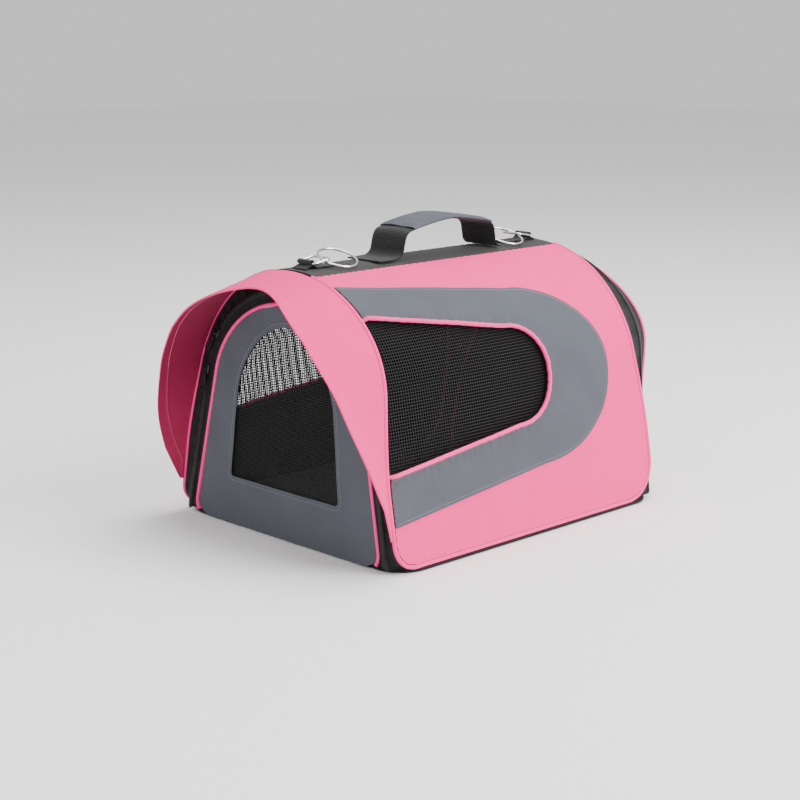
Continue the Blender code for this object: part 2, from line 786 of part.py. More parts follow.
def hood_depth(height, width):
    t = min(max((height - HOOD_TIP_HEIGHT) / (HOOD_FULL_HEIGHT - HOOD_TIP_HEIGHT), 0.0), 1.0)
    depth = HOOD_DEPTH * (1.0 - (1.0 - t) ** HOOD_CURVE)
    nearness = min(width / HOOD_DIP_HALF_WIDTH, 1.0)
    return depth - HOOD_DIP * math.cos(0.5 * math.pi * nearness) ** 2


def hood_point(share, side, run):
    spot = half_arch(share)[0]
    depth = hood_depth(spot.y, spot.x)
    flare = HOOD_FLARE * min(1.0, 4.0 * depth / HOOD_DEPTH)
    swell = flare - (flare + HOOD_DROOP) * smooth_step(spot.y, FLARE_LOW, FLARE_HIGH)
    x = front_edge(spot.y, 2.0 * PIPING_STEP) - depth * run
    return skin(x, share, side, -0.5 * PANEL_THICKNESS + swell * run)


def add_hood():
    shares = spread(share_at_height(HOOD_START_HEIGHT), CURVED_SHARE, 8) + spread(CURVED_SHARE, 0.0, 11)[1:]
    stations = [(share, -1) for share in shares] + [(share, 1) for share in reversed(shares[:-1])]
    rows = [[hood_point(share, side, run) for run in spread(0.0, 1.0, 4)] for share, side in stations]
    add_sheet("hood", rows, HOOD_THICKNESS, "pink")


# ---- ridge: strip, handle, tabs and rings ----

def add_ridge_strip():
    edge = share_at_width(STRIP_HALF_WIDTH - 0.5 * GAP)
    rows = []
    for side, shares in ((-1, spread(edge, 0.0, 4)), (1, spread(0.0, edge, 4)[1:])):
        for share in shares:
            height = half_arch(share)[0].y
            xs = spread(front_edge(height), rear_edge(height), 4)
            rows.append([skin(x, share, side, -0.5 * PANEL_THICKNESS) for x in xs])
    add_sheet("ridge_strip", rows, PANEL_THICKNESS, "black")


def smooth_path(points, steps):
    """A smooth run through the points, with a few more points between each two."""
    result = []
    last = len(points) - 1
    for k in range(last):
        p0, p1 = Vector(points[max(k - 1, 0)]), Vector(points[k])
        p2, p3 = Vector(points[k + 1]), Vector(points[min(k + 2, last)])
        for j in range(steps):
            t = j / steps
            result.append(0.5 * (2.0 * p1 + (p2 - p0) * t + (2.0 * p0 - 5.0 * p1 + 4.0 * p2 - p3) * t * t
                                 + (3.0 * p1 - p0 - 3.0 * p2 + p3) * t ** 3))
    result.append(Vector(points[-1]))
    return result


def handle_controls():
    """Points (x, z) along the middle of the webbing, from its front tail to its rear tail."""
    low = RIDGE_HEIGHT + GAP + 0.5 * WEBBING_THICKNESS
    corner = RIDGE_HEIGHT + GRIP_CORNER_HEIGHT
    crown = RIDGE_HEIGHT + HANDLE_CROWN
    span = HANDLE_REAR_X - HANDLE_FRONT_X
    front, rear = HANDLE_FRONT_X, HANDLE_REAR_X
    return [
        (front - HANDLE_TAIL, low),
        (front - 0.020, low),
        (front - 0.009, low + 0.0010),
        (front - 0.0025, low + 0.0060),
        (front, low + 0.0150),
        (front + 0.0040, corner - 0.0035),
        (front + 0.0140, corner + 0.0015),
        (front + 0.34 * span, crown - 0.0020),
        (front + 0.54 * span, crown),
        (front + 0.76 * span, crown - 0.0040),
        (rear - 0.0100, corner + 0.0010),
        (rear - 0.0020, corner - 0.0050),
        (rear, low + 0.0140),
        (rear + 0.0015, low + 0.0055),
        (rear + 0.0060, low + 0.0010),
        (rear + REAR_TAIL, low),
    ]


def strap_rows(path, half_width):
    return [[Vector((p.x, y, p.y)) for y in (-half_width, half_width)] for p in path]


def add_handle():
    path = smooth_path(handle_controls(), 3)
    add_sheet("handle_webbing", strap_rows(path, WEBBING_HALF_WIDTH), WEBBING_THICKNESS, "black")
    grip_path = path[18:31]
    grip = add_sheet("handle_grip", strap_rows(grip_path, GRIP_HALF_WIDTH), GRIP_THICKNESS, "gray")
    slot = add_sheet("grip_slot_cutter", strap_rows(path[15:34], WEBBING_HALF_WIDTH + GAP),
                     WEBBING_THICKNESS + 2.0 * GAP, None)
    hide_cutter(slot)
    cut(grip, slot, "DIFFERENCE")


def add_ring_set(prefix, end):
    """A webbing tab, the ring whose bar it holds and the round ring linked through that ring."""
    low = RIDGE_HEIGHT + GAP
    bar = Vector((end * TAB_X, 0.0, RIDGE_HEIGHT + BAR_HEIGHT))
    inward = -end
    outer, inner = bar.x - inward * TAB_OUTER_LENGTH, bar.x + inward * TAB_INNER_LENGTH
    slab = [(outer, low), (inner, low), (inner, low + TAB_THICKNESS), (outer, low + TAB_THICKNESS)]
    across = ((0, 0, 0), (1, 0, 0), (0, 0, 1), (0, 1, 0), -TAB_HALF_WIDTH, TAB_HALF_WIDTH)
    tab = new_object(prefix + "_ring_tab", prism_mesh(prefix + "_ring_tab", slab, *across), "black")
    loop = [(bar.x + TAB_LOOP_RADIUS * math.cos(a), bar.z + TAB_LOOP_RADIUS * math.sin(a))
            for a in (math.radians(-30.0 + 20.0 * k) for k in range(13))]
    loop += [(bar.x - 0.9 * TAB_LOOP_RADIUS, low + 0.0005), (bar.x + 0.9 * TAB_LOOP_RADIUS, low + 0.0005)]
    bump = add_cutter(prefix + "_tab_loop_guide", loop, *across)
    eye_radius = RING_WIRE_RADIUS + TURNING_GAP
    eye = [(bar.x + eye_radius * math.cos(a), bar.z + eye_radius * math.sin(a))
           for a in (math.radians(30.0 * k) for k in range(12))]
    through = add_cutter(prefix + "_tab_eye_cutter", eye, (0, 0, 0), (1, 0, 0), (0, 0, 1), (0, 1, 0),
                         -2.0 * TAB_HALF_WIDTH, 2.0 * TAB_HALF_WIDTH)
    cut(tab, bump, "UNION")
    cut(tab, through, "DIFFERENCE")

    lift = math.radians(BAR_RING_LIFT_DEG)
    along = Vector((inward * math.cos(lift), 0.0, math.sin(lift)))
    outline = rounded_rectangle(0.5 * BAR_RING_LENGTH, BAR_RING_HALF_WIDTH, BAR_RING_CORNER, 4)
    path = [bar + along * (0.5 * BAR_RING_LENGTH + p[0]) + Vector((0.0, p[1], 0.0)) for p in outline]
    ring = add_tube(prefix + "_bar_ring", path, RING_WIRE_RADIUS, "chrome", closed=True, pivot=bar)

    tilt = math.atan(2.0 * RING_WIRE_RADIUS / RING_CROSSING_RUN)
    centre = bar + Vector((inward * ROUND_RING_OFFSET, ROUND_RING_SIDE, ROUND_RING_RISE))
    sideways = Vector((0.0, math.cos(tilt), math.sin(tilt)))
    hoop = []
    for k in range(30):
        angle = math.radians(12.0 * k)
        reach = Vector((math.cos(angle), 0.0, 0.0)) + sideways * math.sin(angle)
        hoop.append(centre + reach * ROUND_RING_RADIUS)
    link = bar + along * BAR_RING_LENGTH
    add_tube(prefix + "_round_ring", hoop, RING_WIRE_RADIUS, "chrome", closed=True, pivot=link, parent=ring)


# ---- base ----

def rounded_rectangle(half_x, half_y, radius, steps):
    return rounded_plate(-half_x, half_x, half_y, radius, steps)


def rounded_plate(front_x, rear_x, half_y, radius, steps):
    points = []
    for cx, cy, start in ((rear_x, 1, 0), (front_x, 1, 90), (front_x, -1, 180), (rear_x, -1, 270)):
        inner = cx - math.copysign(radius, cx)
        for k in range(steps + 1):
            angle = math.radians(start + 90.0 * k / steps)
            y = cy * (half_y - radius) + radius * math.sin(angle)
            points.append((inner + radius * math.cos(angle), y))
    return points


def add_slab(name, front_x, rear_x, half_y, radius, low, high, look):
    outline = rounded_plate(front_x, rear_x, half_y, radius, 6)
    mesh = prism_mesh(name, outline, (0, 0, 0), (1, 0, 0), (0, 1, 0), (0, 0, 1), low, high)
    return new_object(name, mesh, look)


def add_base():
    add_slab("base_panel", -BASE_FRONT_LENGTH, BASE_REAR_LENGTH, BASE_HALF_WIDTH, BASE_CORNER_RADIUS,
             0.0, BASE_THICKNESS, "black")
    board_low = BASE_THICKNESS + GAP
    board_high = board_low + BOARD_THICKNESS
    clear = BOARD_MARGIN + TAPE_THICKNESS
    add_slab("base_board", -PANEL_HALF_LENGTH, PANEL_HALF_LENGTH, BASE_HALF_WIDTH - clear, BASE_CORNER_RADIUS,
             board_low, board_high, "board")
    pad_low = board_high + GAP
    pad_room = half_arch(share_at_height(pad_low + PAD_THICKNESS))[0].x
    add_slab("floor_pad", -PANEL_HALF_LENGTH, PANEL_HALF_LENGTH, pad_room - PAD_MARGIN, PAD_CORNER_RADIUS,
             pad_low, pad_low + PAD_THICKNESS, "pad")


# ---- the whole bag ----

def build():
    for item in list(bpy.data.objects):
        bpy.data.objects.remove(item, do_unlink=True)
    add_base()
    add_side("near", -1)
    add_side("far", 1)
    add_ridge_strip()
    add_hood()
    front = add_end("front", -1, "gray")
    rear = add_end("rear", 1, "gray")
    add_slider("front_low", -1, LOW_SLIDER_HEIGHT, 1, front)
    add_slider("front_high", -1, HIGH_SLIDER_HEIGHT, 1, front)
    add_slider("rear", 1, REAR_SLIDER_HEIGHT, 1, rear)
    add_handle()
    add_ring_set("front", -1)
    add_ring_set("rear", 1)


build()
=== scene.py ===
import math

import bpy
import numpy as np
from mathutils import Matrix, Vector


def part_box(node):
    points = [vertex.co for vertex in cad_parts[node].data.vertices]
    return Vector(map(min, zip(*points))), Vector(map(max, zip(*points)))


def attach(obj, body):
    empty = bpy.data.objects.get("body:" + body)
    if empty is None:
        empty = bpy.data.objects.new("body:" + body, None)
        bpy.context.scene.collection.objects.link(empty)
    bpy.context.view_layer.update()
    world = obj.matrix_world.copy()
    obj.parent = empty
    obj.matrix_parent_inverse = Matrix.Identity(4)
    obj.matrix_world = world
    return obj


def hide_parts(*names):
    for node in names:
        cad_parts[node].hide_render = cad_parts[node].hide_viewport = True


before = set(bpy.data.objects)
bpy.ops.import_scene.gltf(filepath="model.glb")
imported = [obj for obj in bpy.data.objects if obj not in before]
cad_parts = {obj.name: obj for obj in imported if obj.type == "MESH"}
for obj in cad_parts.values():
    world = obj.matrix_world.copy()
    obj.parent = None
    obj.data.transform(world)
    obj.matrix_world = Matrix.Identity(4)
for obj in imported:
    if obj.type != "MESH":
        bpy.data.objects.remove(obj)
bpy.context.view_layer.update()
print("frame loaded:", len(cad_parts), "nodes")

# ---------- camera, light and floor ----------

studio = {
    "cameraPlace": (-1.31243, -1.30701, 0.53254),
    "cameraLook": (0.68300, 0.69694, -0.21861),
    "lens": 77.69,
    "floorSize": 14.0,
    "floorColour": (0.93, 0.93, 0.93, 1.0),
    "skyColour": (1.0, 1.0, 1.0, 1.0),
    "skyStrength": 0.80,
    "lightMiddle": (0.0, 0.0, 0.14),
}
lamps = {
    "keyLight": {"place": (0.7, -2.2, 1.5), "size": 1.5, "power": 98.0},
    "topLight": {"place": (0.4, -0.1, 2.4), "size": 1.8, "power": 62.0},
    "fillLight": {"place": (-2.2, -0.6, 1.2), "size": 1.4, "power": 17.0},
}


def addLight(name, place, target, size, power):
    bpy.ops.object.light_add(type="AREA", location=place)
    lamp = bpy.context.object
    lamp.name = name
    lamp.data.size = size
    lamp.data.energy = power
    lamp.rotation_mode = "QUATERNION"
    lamp.rotation_quaternion = (Vector(target) - Vector(place)).to_track_quat("-Z", "Y")


def buildStudio():
    bpy.ops.object.camera_add(location=studio["cameraPlace"])
    camera = bpy.context.object
    camera.data.lens = studio["lens"]
    camera.data.sensor_width = 36.0
    camera.rotation_mode = "QUATERNION"
    camera.rotation_quaternion = Vector(studio["cameraLook"]).to_track_quat("-Z", "Y")
    bpy.context.scene.camera = camera
    bpy.ops.mesh.primitive_plane_add(size=studio["floorSize"], location=(0.0, 0.0, -0.0006))
    floor = bpy.context.object
    floor.name = "studioFloor"
    paper = bpy.data.materials.new("palePaper")
    paper.use_nodes = True
    shader = paper.node_tree.nodes["Principled BSDF"]
    shader.inputs["Base Color"].default_value = studio["floorColour"]
    shader.inputs["Roughness"].default_value = 0.9
    floor.data.materials.append(paper)
    world = bpy.data.worlds.new("softSky")
    world.use_nodes = True
    sky = world.node_tree.nodes["Background"]
    sky.inputs["Color"].default_value = studio["skyColour"]
    sky.inputs["Strength"].default_value = studio["skyStrength"]
    bpy.context.scene.world = world
    for name, lamp in lamps.items():
        addLight(name, lamp["place"], studio["lightMiddle"], lamp["size"], lamp["power"])


buildStudio()
print("studio ready")

# ---------- materials ----------

twoPi = 2.0 * math.pi


class Nodes:
    def __init__(self, name):
        self.material = bpy.data.materials.new(name)
        self.material.use_nodes = True
        self.tree = self.material.node_tree
        self.shader = self.tree.nodes["Principled BSDF"]

    def add(self, kind, **values):
        node = self.tree.nodes.new(kind)
        for key, value in values.items():
            setattr(node, key, value)
        return node

    def join(self, source, target):
        self.tree.links.new(source, target)

    def math(self, operation, first, second=None):
        node = self.add("ShaderNodeMath", operation=operation)
        for k, value in enumerate((first, second)):
            if value is None:
                continue
            if isinstance(value, (int, float)):
                node.inputs[k].default_value = value
            else:
                self.join(value, node.inputs[k])
        return node.outputs[0]

    def noise(self, vector, scale, detail=3.0):
        node = self.add("ShaderNodeTexNoise")
        node.inputs["Scale"].default_value = scale
        node.inputs["Detail"].default_value = detail
        self.join(vector, node.inputs["Vector"])
        return node.outputs["Fac"]

    def blend(self, factor, first, second):
        node = self.add("ShaderNodeMix", data_type="RGBA")
        self.join(factor, node.inputs["Factor"])
        for value, socket in ((first, node.inputs[6]), (second, node.inputs[7])):
            if isinstance(value, tuple):
                socket.default_value = value
            else:
                self.join(value, socket)
        return node.outputs[2]

    def between(self, value, low, high):
        node = self.add("ShaderNodeMapRange")
        self.join(value, node.inputs["Value"])
        node.inputs["From Min"].default_value = low
        node.inputs["From Max"].default_value = high
        return node.outputs["Result"]


def shade(colour, factor):
    return tuple(min(1.0, c * factor) for c in colour[:3]) + (1.0,)


def weaveMaterial(name, colour, look):
    made = Nodes(name)
    place = made.add("ShaderNodeTexCoord")
    threads = made.add("ShaderNodeUVMap", uv_map="threads")
    split = made.add("ShaderNodeSeparateXYZ")
    made.join(threads.outputs["UV"], split.inputs[0])
    warp = made.math("SINE", made.math("MULTIPLY", split.outputs[0], twoPi / look["warp"]))
    weft = made.math("SINE", made.math("MULTIPLY", split.outputs[1], twoPi / look["weft"]))
    if look.get("ribbed"):
        weave = made.math("ADD", made.math("MULTIPLY", warp, 0.35), made.math("MULTIPLY", weft, 0.65))
    else:
        weave = made.math("MULTIPLY", warp, weft)
    wide = made.noise(place.outputs["Object"], look.get("mottle", 26.0))
    fine = made.noise(place.outputs["Object"], 900.0, 2.0)
    tones = [shade(colour, look[key]) for key in ("dark", "light")]
    patches = made.blend(made.between(wide, 0.3, 0.7), *tones)
    # the hollows between crossing threads take a darker tone: painted shade in the weave, beside the bump
    gaps = made.between(weave, -1.0, 0.5)
    woven = made.blend(gaps, shade(colour, look["gap"]), patches)
    made.join(woven, made.shader.inputs["Base Color"])
    height = made.math("ADD", weave, made.math("MULTIPLY", fine, 0.6))
    bump = made.add("ShaderNodeBump")
    bump.inputs["Strength"].default_value = look.get("strength", 0.35)
    bump.inputs["Distance"].default_value = look.get("depth", 0.00012)
    made.join(height, bump.inputs["Height"])
    made.join(bump.outputs["Normal"], made.shader.inputs["Normal"])
    rough = made.math("ADD", made.math("MULTIPLY", fine, 0.10), look["rough"] - 0.05)
    made.join(rough, made.shader.inputs["Roughness"])
    made.shader.inputs["Sheen Weight"].default_value = look.get("sheen", 0.15)
    made.shader.inputs["Sheen Roughness"].default_value = 0.5
    made.shader.inputs["Specular IOR Level"].default_value = look.get("gloss", 0.3)
    return made.material


def metalMaterial(name, colour, rough, metallic, speckle):
    made = Nodes(name)
    place = made.add("ShaderNodeTexCoord")
    marks = made.noise(place.outputs["Object"], 420.0, 4.0)
    made.join(made.blend(marks, shade(colour, 0.90), colour), made.shader.inputs["Base Color"])
    worn = made.math("ADD", made.math("MULTIPLY", marks, speckle), rough)
    made.join(worn, made.shader.inputs["Roughness"])
    made.shader.inputs["Metallic"].default_value = metallic
    return made.material


# gap: the darker tone painted into the weave's hollows as shade
oxford = {"warp": 0.00085, "weft": 0.00085, "dark": 0.96, "light": 1.03, "gap": 0.86, "rough": 0.72,
          "sheen": 0.04, "strength": 0.45, "gloss": 0.18}
paint = {
    "pink": weaveMaterial("pinkOxford", (0.98, 0.024, 0.235, 1.0), oxford),
    "pinkCord": weaveMaterial("pinkPipingTape", (0.98, 0.045, 0.27, 1.0),
                              {**oxford, "warp": 0.0006, "weft": 0.0006, "strength": 0.3}),
    # the hood's inner face: the same pink darkened, painted shade for the shade under the hood
    "pinkPaintedShadeInside": weaveMaterial("pinkInnerFacePaintedShade", (0.33, 0.014, 0.066, 1.0), oxford),
    "gray": weaveMaterial("grayOxford", (0.076, 0.081, 0.098, 1.0), {**oxford, "light": 1.10, "dark": 0.92}),
    "lining": weaveMaterial("blackLining", (0.006, 0.006, 0.007, 1.0),
                            {**oxford, "warp": 0.0005, "weft": 0.0005, "sheen": 0.03}),
    "net": weaveMaterial("blackNet", (0.006, 0.006, 0.0065, 1.0),
                         {**oxford, "warp": 0.0004, "weft": 0.0004, "rough": 0.55, "sheen": 0.05}),
    # the webbing's grooves between ribs are painted darker: painted shade in the ribbing
    "webbing": weaveMaterial("blackWebbing", (0.010, 0.010, 0.011, 1.0),
                             {**oxford, "warp": 0.0013, "weft": 0.0021, "ribbed": True, "rough": 0.62,
                              "gap": 0.45, "light": 1.25, "strength": 0.9, "depth": 0.0003, "sheen": 0.12}),
    "tape": weaveMaterial("blackTape", (0.007, 0.007, 0.008, 1.0),
                          {**oxford, "warp": 0.0007, "weft": 0.0007, "sheen": 0.06, "rough": 0.66}),
    "teeth": metalMaterial("blackCoil", (0.020, 0.020, 0.022, 1.0), 0.34, 0.0, 0.15),
    "enamel": metalMaterial("blackEnamel", (0.016, 0.016, 0.018, 1.0), 0.30, 0.25, 0.15),
    "chrome": metalMaterial("polishedWire", (0.83, 0.83, 0.85, 1.0), 0.10, 1.0, 0.10),
    "pad": weaveMaterial("padCover", (0.050, 0.052, 0.058, 1.0), {**oxford, "warp": 0.002, "weft": 0.002}),
    "board": metalMaterial("stiffBoard", (0.02, 0.02, 0.02, 1.0), 0.7, 0.0, 0.1),
    "pinkThread": metalMaterial("pinkThread", (0.80, 0.16, 0.33, 1.0), 0.6, 0.0, 0.1),
    "grayThread": metalMaterial("grayThread", (0.20, 0.23, 0.25, 1.0), 0.6, 0.0, 0.1),
    "blackThread": metalMaterial("blackThread", (0.030, 0.030, 0.032, 1.0), 0.55, 0.0, 0.1),
}
print("materials ready:", len(paint))

# ---------- mesh helpers ----------


def readAll(rows, field, width=1, kind=float):
    flat = np.zeros(len(rows) * width, kind)
    rows.foreach_get(field, flat)
    return flat.reshape(-1, width) if width > 1 else flat


def readPoints(item):
    return readAll(item.data.vertices, "co", 3)


def writePoints(item, points):
    item.data.vertices.foreach_set("co", np.ascontiguousarray(points, np.float32).ravel())
    item.data.update()


def selectOnly(item):
    bpy.ops.object.select_all(action="DESELECT")
    item.select_set(True)
    bpy.context.view_layer.objects.active = item


def editMesh(item, *steps):
    selectOnly(item)
    bpy.ops.object.mode_set(mode="EDIT")
    for step in steps:
        step()
    bpy.ops.object.mode_set(mode="OBJECT")


def addGrid(name, low, high, cell):
    # a flat grid in its own two measures, which a place function then lays on the bag
    bpy.ops.object.select_all(action="DESELECT")
    counts = [max(2, round((high[k] - low[k]) / cell[k])) for k in (0, 1)]
    bpy.ops.mesh.primitive_grid_add(x_subdivisions=counts[0], y_subdivisions=counts[1], size=1.0)
    item = bpy.context.object
    item.name = name
    size = np.array([high[0] - low[0], high[1] - low[1], 0.0])
    writePoints(item, (readPoints(item) + 0.5) * size + np.array([low[0], low[1], 0.0]))
    return item


def selectFaces(item, chosen):
    bpy.context.tool_settings.mesh_select_mode = (False, False, True)
    item.data.vertices.foreach_set("select", np.zeros(len(item.data.vertices), bool))
    item.data.edges.foreach_set("select", np.zeros(len(item.data.edges), bool))
    item.data.polygons.foreach_set("select", chosen)


def faceMiddles(item):
    return readAll(item.data.polygons, "center", 3)


def trimGrid(item, keep):
    middles = faceMiddles(item)
    selectFaces(item, ~keep(middles[:, 0], middles[:, 1]))
    editMesh(item, lambda: bpy.ops.mesh.delete(type="FACE"))


def nearestOnLine(points, line):
    # foot, distance and run along an open line, for each flat point
    a, b = line[:-1], line[1:]
    run = b - a
    lengths = np.maximum(np.linalg.norm(run, axis=1), 1e-12)
    starts = np.concatenate([[0.0], np.cumsum(lengths)[:-1]])
    feet, gaps, runs = [], [], []
    for part in np.array_split(points, max(1, len(points) // 4000)):
        offset = part[:, None, :] - a[None]
        t = np.clip((offset * run[None]).sum(2) / (lengths ** 2)[None], 0.0, 1.0)
        foot = a[None] + run[None] * t[:, :, None]
        gap = np.linalg.norm(part[:, None, :] - foot, axis=2)
        best = gap.argmin(1)
        rows = np.arange(len(part))
        feet.append(foot[rows, best])
        gaps.append(gap[rows, best])
        runs.append(starts[best] + t[rows, best] * lengths[best])
    return np.concatenate(feet), np.concatenate(gaps), np.concatenate(runs)


def insideOutline(outline, u, v):
    found = np.zeros(len(u), bool)
    a, b = outline, np.roll(outline, -1, axis=0)
    for (u0, v0), (u1, v1) in zip(a, b):
        if v0 == v1:
            continue
        crosses = (v0 > v) != (v1 > v)
        found ^= crosses & (u < (u1 - u0) * (v - v0) / (v1 - v0) + u0)
    return found


def edgeTable(item):
    used = readAll(item.data.loops, "edge_index", kind=int)
    counts = np.bincount(used, minlength=len(item.data.edges))
    return readAll(item.data.edges, "vertices", 2, int), counts


def snapBorder(item, lines, reach):
    # the cut border moves onto the outlines, and the rows next to it follow a little
    points = readPoints(item)
    pairs, counts = edgeTable(item)
    border = np.unique(pairs[counts == 1])
    best = np.full(len(border), 9.0)
    feet = points[border, :2].copy()
    for line in lines:
        foot, gap, _ = nearestOnLine(points[border, :2], line)
        closer = (gap < best) & (gap < reach)
        feet[closer] = foot[closer]
        best[closer] = gap[closer]
    points[border, :2] = feet
    isBorder = np.zeros(len(points), bool)
    isBorder[border] = True
    close = isBorder.copy()
    for _ in range(2):
        touched = close[pairs].any(1)
        close[pairs[touched].ravel()] = True
    free = close & ~isBorder
    for _ in range(5):
        total = np.zeros((len(points), 2))
        number = np.zeros(len(points))
        for k in (0, 1):
            np.add.at(total, pairs[:, k], points[pairs[:, 1 - k], :2])
            np.add.at(number, pairs[:, k], 1.0)
        points[free, :2] = total[free] / number[free][:, None]
    writePoints(item, points)


def setThreads(item, measures):
    layer = item.data.uv_layers.get("threads") or item.data.uv_layers.new(name="threads")
    index = readAll(item.data.loops, "vertex_index", kind=int)
    layer.data.foreach_set("uv", np.ascontiguousarray(measures[index][:, :2], np.float32).ravel())
    for other in list(item.data.uv_layers):
        if other.name != "threads":
            item.data.uv_layers.remove(other)


def noteCut(item):
    spread = np.ptp(readPoints(item), axis=0)


def layOut(item, place):
    noteCut(item)
    flat = readPoints(item)
    setThreads(item, flat)
    writePoints(item, np.column_stack(place(flat[:, 0], flat[:, 1])))


def applyModifier(item, name, kind, **values):
    step = item.modifiers.new(name, kind)
    for key, value in values.items():
        setattr(step, key, value)
    selectOnly(item)
    bpy.ops.object.modifier_apply(modifier=name)


def facingOut(item, centre):
    # turn a sheet so that its faces look away from a middle point
    normals = readAll(item.data.polygons, "normal", 3)
    away = faceMiddles(item) - np.array(centre)
    if (normals * away).sum() < 0.0:
        selectFaces(item, np.ones(len(item.data.polygons), bool))
        editMesh(item, lambda: bpy.ops.mesh.flip_normals())


def thicken(item, thickness, offset=0.0, inner=None):
    # with an inner face, two empty slots keep the faces of the two sides apart
    for _ in range(2 if inner else 0):
        item.data.materials.append(None)
    applyModifier(item, "thickness", "SOLIDIFY", thickness=thickness, offset=offset,
                  material_offset=1 if inner else 0, material_offset_rim=1 if inner == "lining" else 0)


def finishPiece(item, body, look, nodes=(), inner=None):
    for k, name in enumerate((look, inner) if inner else (look,)):
        if k < len(item.data.materials):
            item.data.materials[k] = paint[name]
        else:
            item.data.materials.append(paint[name])
    selectOnly(item)
    bpy.ops.object.transform_apply(location=True, rotation=True, scale=True)
    bpy.ops.object.shade_smooth_by_angle(angle=math.radians(40.0))
    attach(item, body)
    if nodes:
        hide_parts(*nodes)
    return item


def sewSheet(item, centre, thickness, body, look, nodes=(), inner=None):
    # a laid sheet is turned outward, gets its thickness and its materials, and joins its body
    facingOut(item, centre)
    thicken(item, thickness, inner=inner)
    finishPiece(item, body, look, nodes, inner)


def runsAlong(line):
    steps = np.linalg.norm(np.diff(line, axis=0), axis=1)
    return np.concatenate([[0.0], np.cumsum(steps)])


def rowsAt(line, runs, spots):
    return np.column_stack([np.interp(spots, runs, column) for column in line.T])


def unit(rows):
    return rows / np.linalg.norm(rows, axis=1)[:, None]


def addTube(name, points, radius, closed=False, sides=3):
    bpy.ops.object.select_all(action="DESELECT")
    bpy.ops.curve.primitive_nurbs_path_add()
    item = bpy.context.object
    item.name = name
    data = item.data
    data.splines.clear()
    spline = data.splines.new("POLY")
    spline.points.add(len(points) - 1)
    weighted = np.column_stack([points, np.ones(len(points))])
    spline.points.foreach_set("co", weighted.astype(np.float32).ravel())
    spline.use_cyclic_u = closed
    data.bevel_depth = radius
    data.bevel_resolution = sides
    data.use_fill_caps = True
    bpy.ops.object.convert(target="MESH")
    item = bpy.context.object
    item.name = name
    around = 2 * sides + 2
    spots = readPoints(item)
    along = runsAlong(points)
    ring = np.minimum(np.arange(len(spots)) // around, len(along) - 1)
    measure = np.column_stack([(np.arange(len(spots)) % around) * twoPi * radius / around, along[ring]])
    setThreads(item, measure)
    return item


def resample(line, step):
    line = np.asarray(line)
    runs = runsAlong(line)
    count = max(2, round(runs[-1] / step) + 1)
    return rowsAt(line, runs, np.linspace(0.0, runs[-1], count))


def copyAlong(name, seed, places, alongs, outs):
    # many small copies of one seed mesh, each turned to its own direction, in one piece
    base = readPoints(seed)
    faces = [list(p.vertices) for p in seed.data.polygons]
    alongs = unit(alongs)
    outs = unit(outs - alongs * (outs * alongs).sum(1)[:, None])
    sides = np.cross(outs, alongs)
    spots = (places[:, None] + base[None, :, 0:1] * alongs[:, None] + base[None, :, 1:2] * sides[:, None]
             + base[None, :, 2:3] * outs[:, None])
    mesh = bpy.data.meshes.new(name)
    allFaces = [[v + k * len(base) for v in face] for k in range(len(places)) for face in faces]
    mesh.from_pydata(spots.reshape(-1, 3).tolist(), [], allFaces)
    item = bpy.data.objects.new(name, mesh)
    bpy.context.scene.collection.objects.link(item)
    bpy.data.objects.remove(seed)
    setThreads(item, spots.reshape(-1, 3))
    return item


stitch = {"size": (0.0024, 0.0006, 0.0005), "pitch": 0.0034, "bandShift": -0.0030, "cordShift": 0.0036,
          "doorShift": 0.0044}


def addSeed(segments, rings, size):
    # a small rounded bar, its length first
    bpy.ops.object.select_all(action="DESELECT")
    bpy.ops.mesh.primitive_uv_sphere_add(segments=segments, ring_count=rings, radius=0.5)
    seed = bpy.context.object
    writePoints(seed, readPoints(seed)[:, [2, 0, 1]] * np.array(size))
    return seed


def besideLine(line, shift):
    # a flat line's neighbour at an even distance to one side
    steps = resample(line, 0.0015)
    tangent = unit(np.gradient(steps, axis=0))
    return steps + np.column_stack([tangent[:, 1], -tangent[:, 0]]) * shift


def addStitches(name, line, normals, body, look):
    # a row of thread stitches over a line, each a small rounded bar
    packed = resample(np.column_stack([line, normals]), stitch["pitch"])
    places, outs = packed[:, :3], packed[:, 3:]
    seed = addSeed(6, 4, stitch["size"])
    item = copyAlong(name, seed, places, np.gradient(places, axis=0), outs)
    return finishPiece(item, body, look)


# ---------- the arched section ----------

arch = {
    "baseHalf": 0.171,
    "ridge": 0.280,
    "shoulderHalf": 0.1425,
    "shoulderHeight": 0.170,
    "shoulderPull": 0.060,
    "ridgePull": 0.075,
    "samples": 900,
}
gap = 0.0003
cordRadius = 0.0022
cordStep = cordRadius + gap
panel = {
    "halfLength": 0.182, "bow": 0.016, "bowLow": 0.070, "bowSpan": 0.170, "thickness": 0.0016,
    "frontCorner": 0.022, "rearCorner": 0.040, "bottom": 0.008, "stripHalf": 0.034, "cell": 0.0028,
    "swell": 0.0026, "ripple": 0.00045, "reach": 0.200, "bandCell": 0.0022, "stitchLift": 0.0014,
}


def sampleArch():
    ridge = np.array([0.0, arch["ridge"]])
    shoulder = np.array([arch["shoulderHalf"], arch["shoulderHeight"]])
    foot = np.array([arch["baseHalf"], 0.0])
    rise = (shoulder - foot) / np.linalg.norm(shoulder - foot)
    ridgeHandle = np.array([arch["ridgePull"], arch["ridge"]])
    shoulderHandle = shoulder + rise * arch["shoulderPull"]
    t = np.linspace(0.0, 1.0, arch["samples"])[:, None]
    r = 1.0 - t
    curve = (ridge * r ** 3 + ridgeHandle * 3 * r * r * t + shoulderHandle * 3 * r * t * t
             + shoulder * t ** 3)
    wall = shoulder + (foot - shoulder) * np.linspace(0.0, 1.03, arch["samples"])[1:, None]
    points = np.concatenate([curve, wall])
    tangent = unit(np.gradient(points, axis=0))
    return runsAlong(points), points, np.column_stack([-tangent[:, 1], tangent[:, 0]])


archLength, archPoints, archNormals = sampleArch()


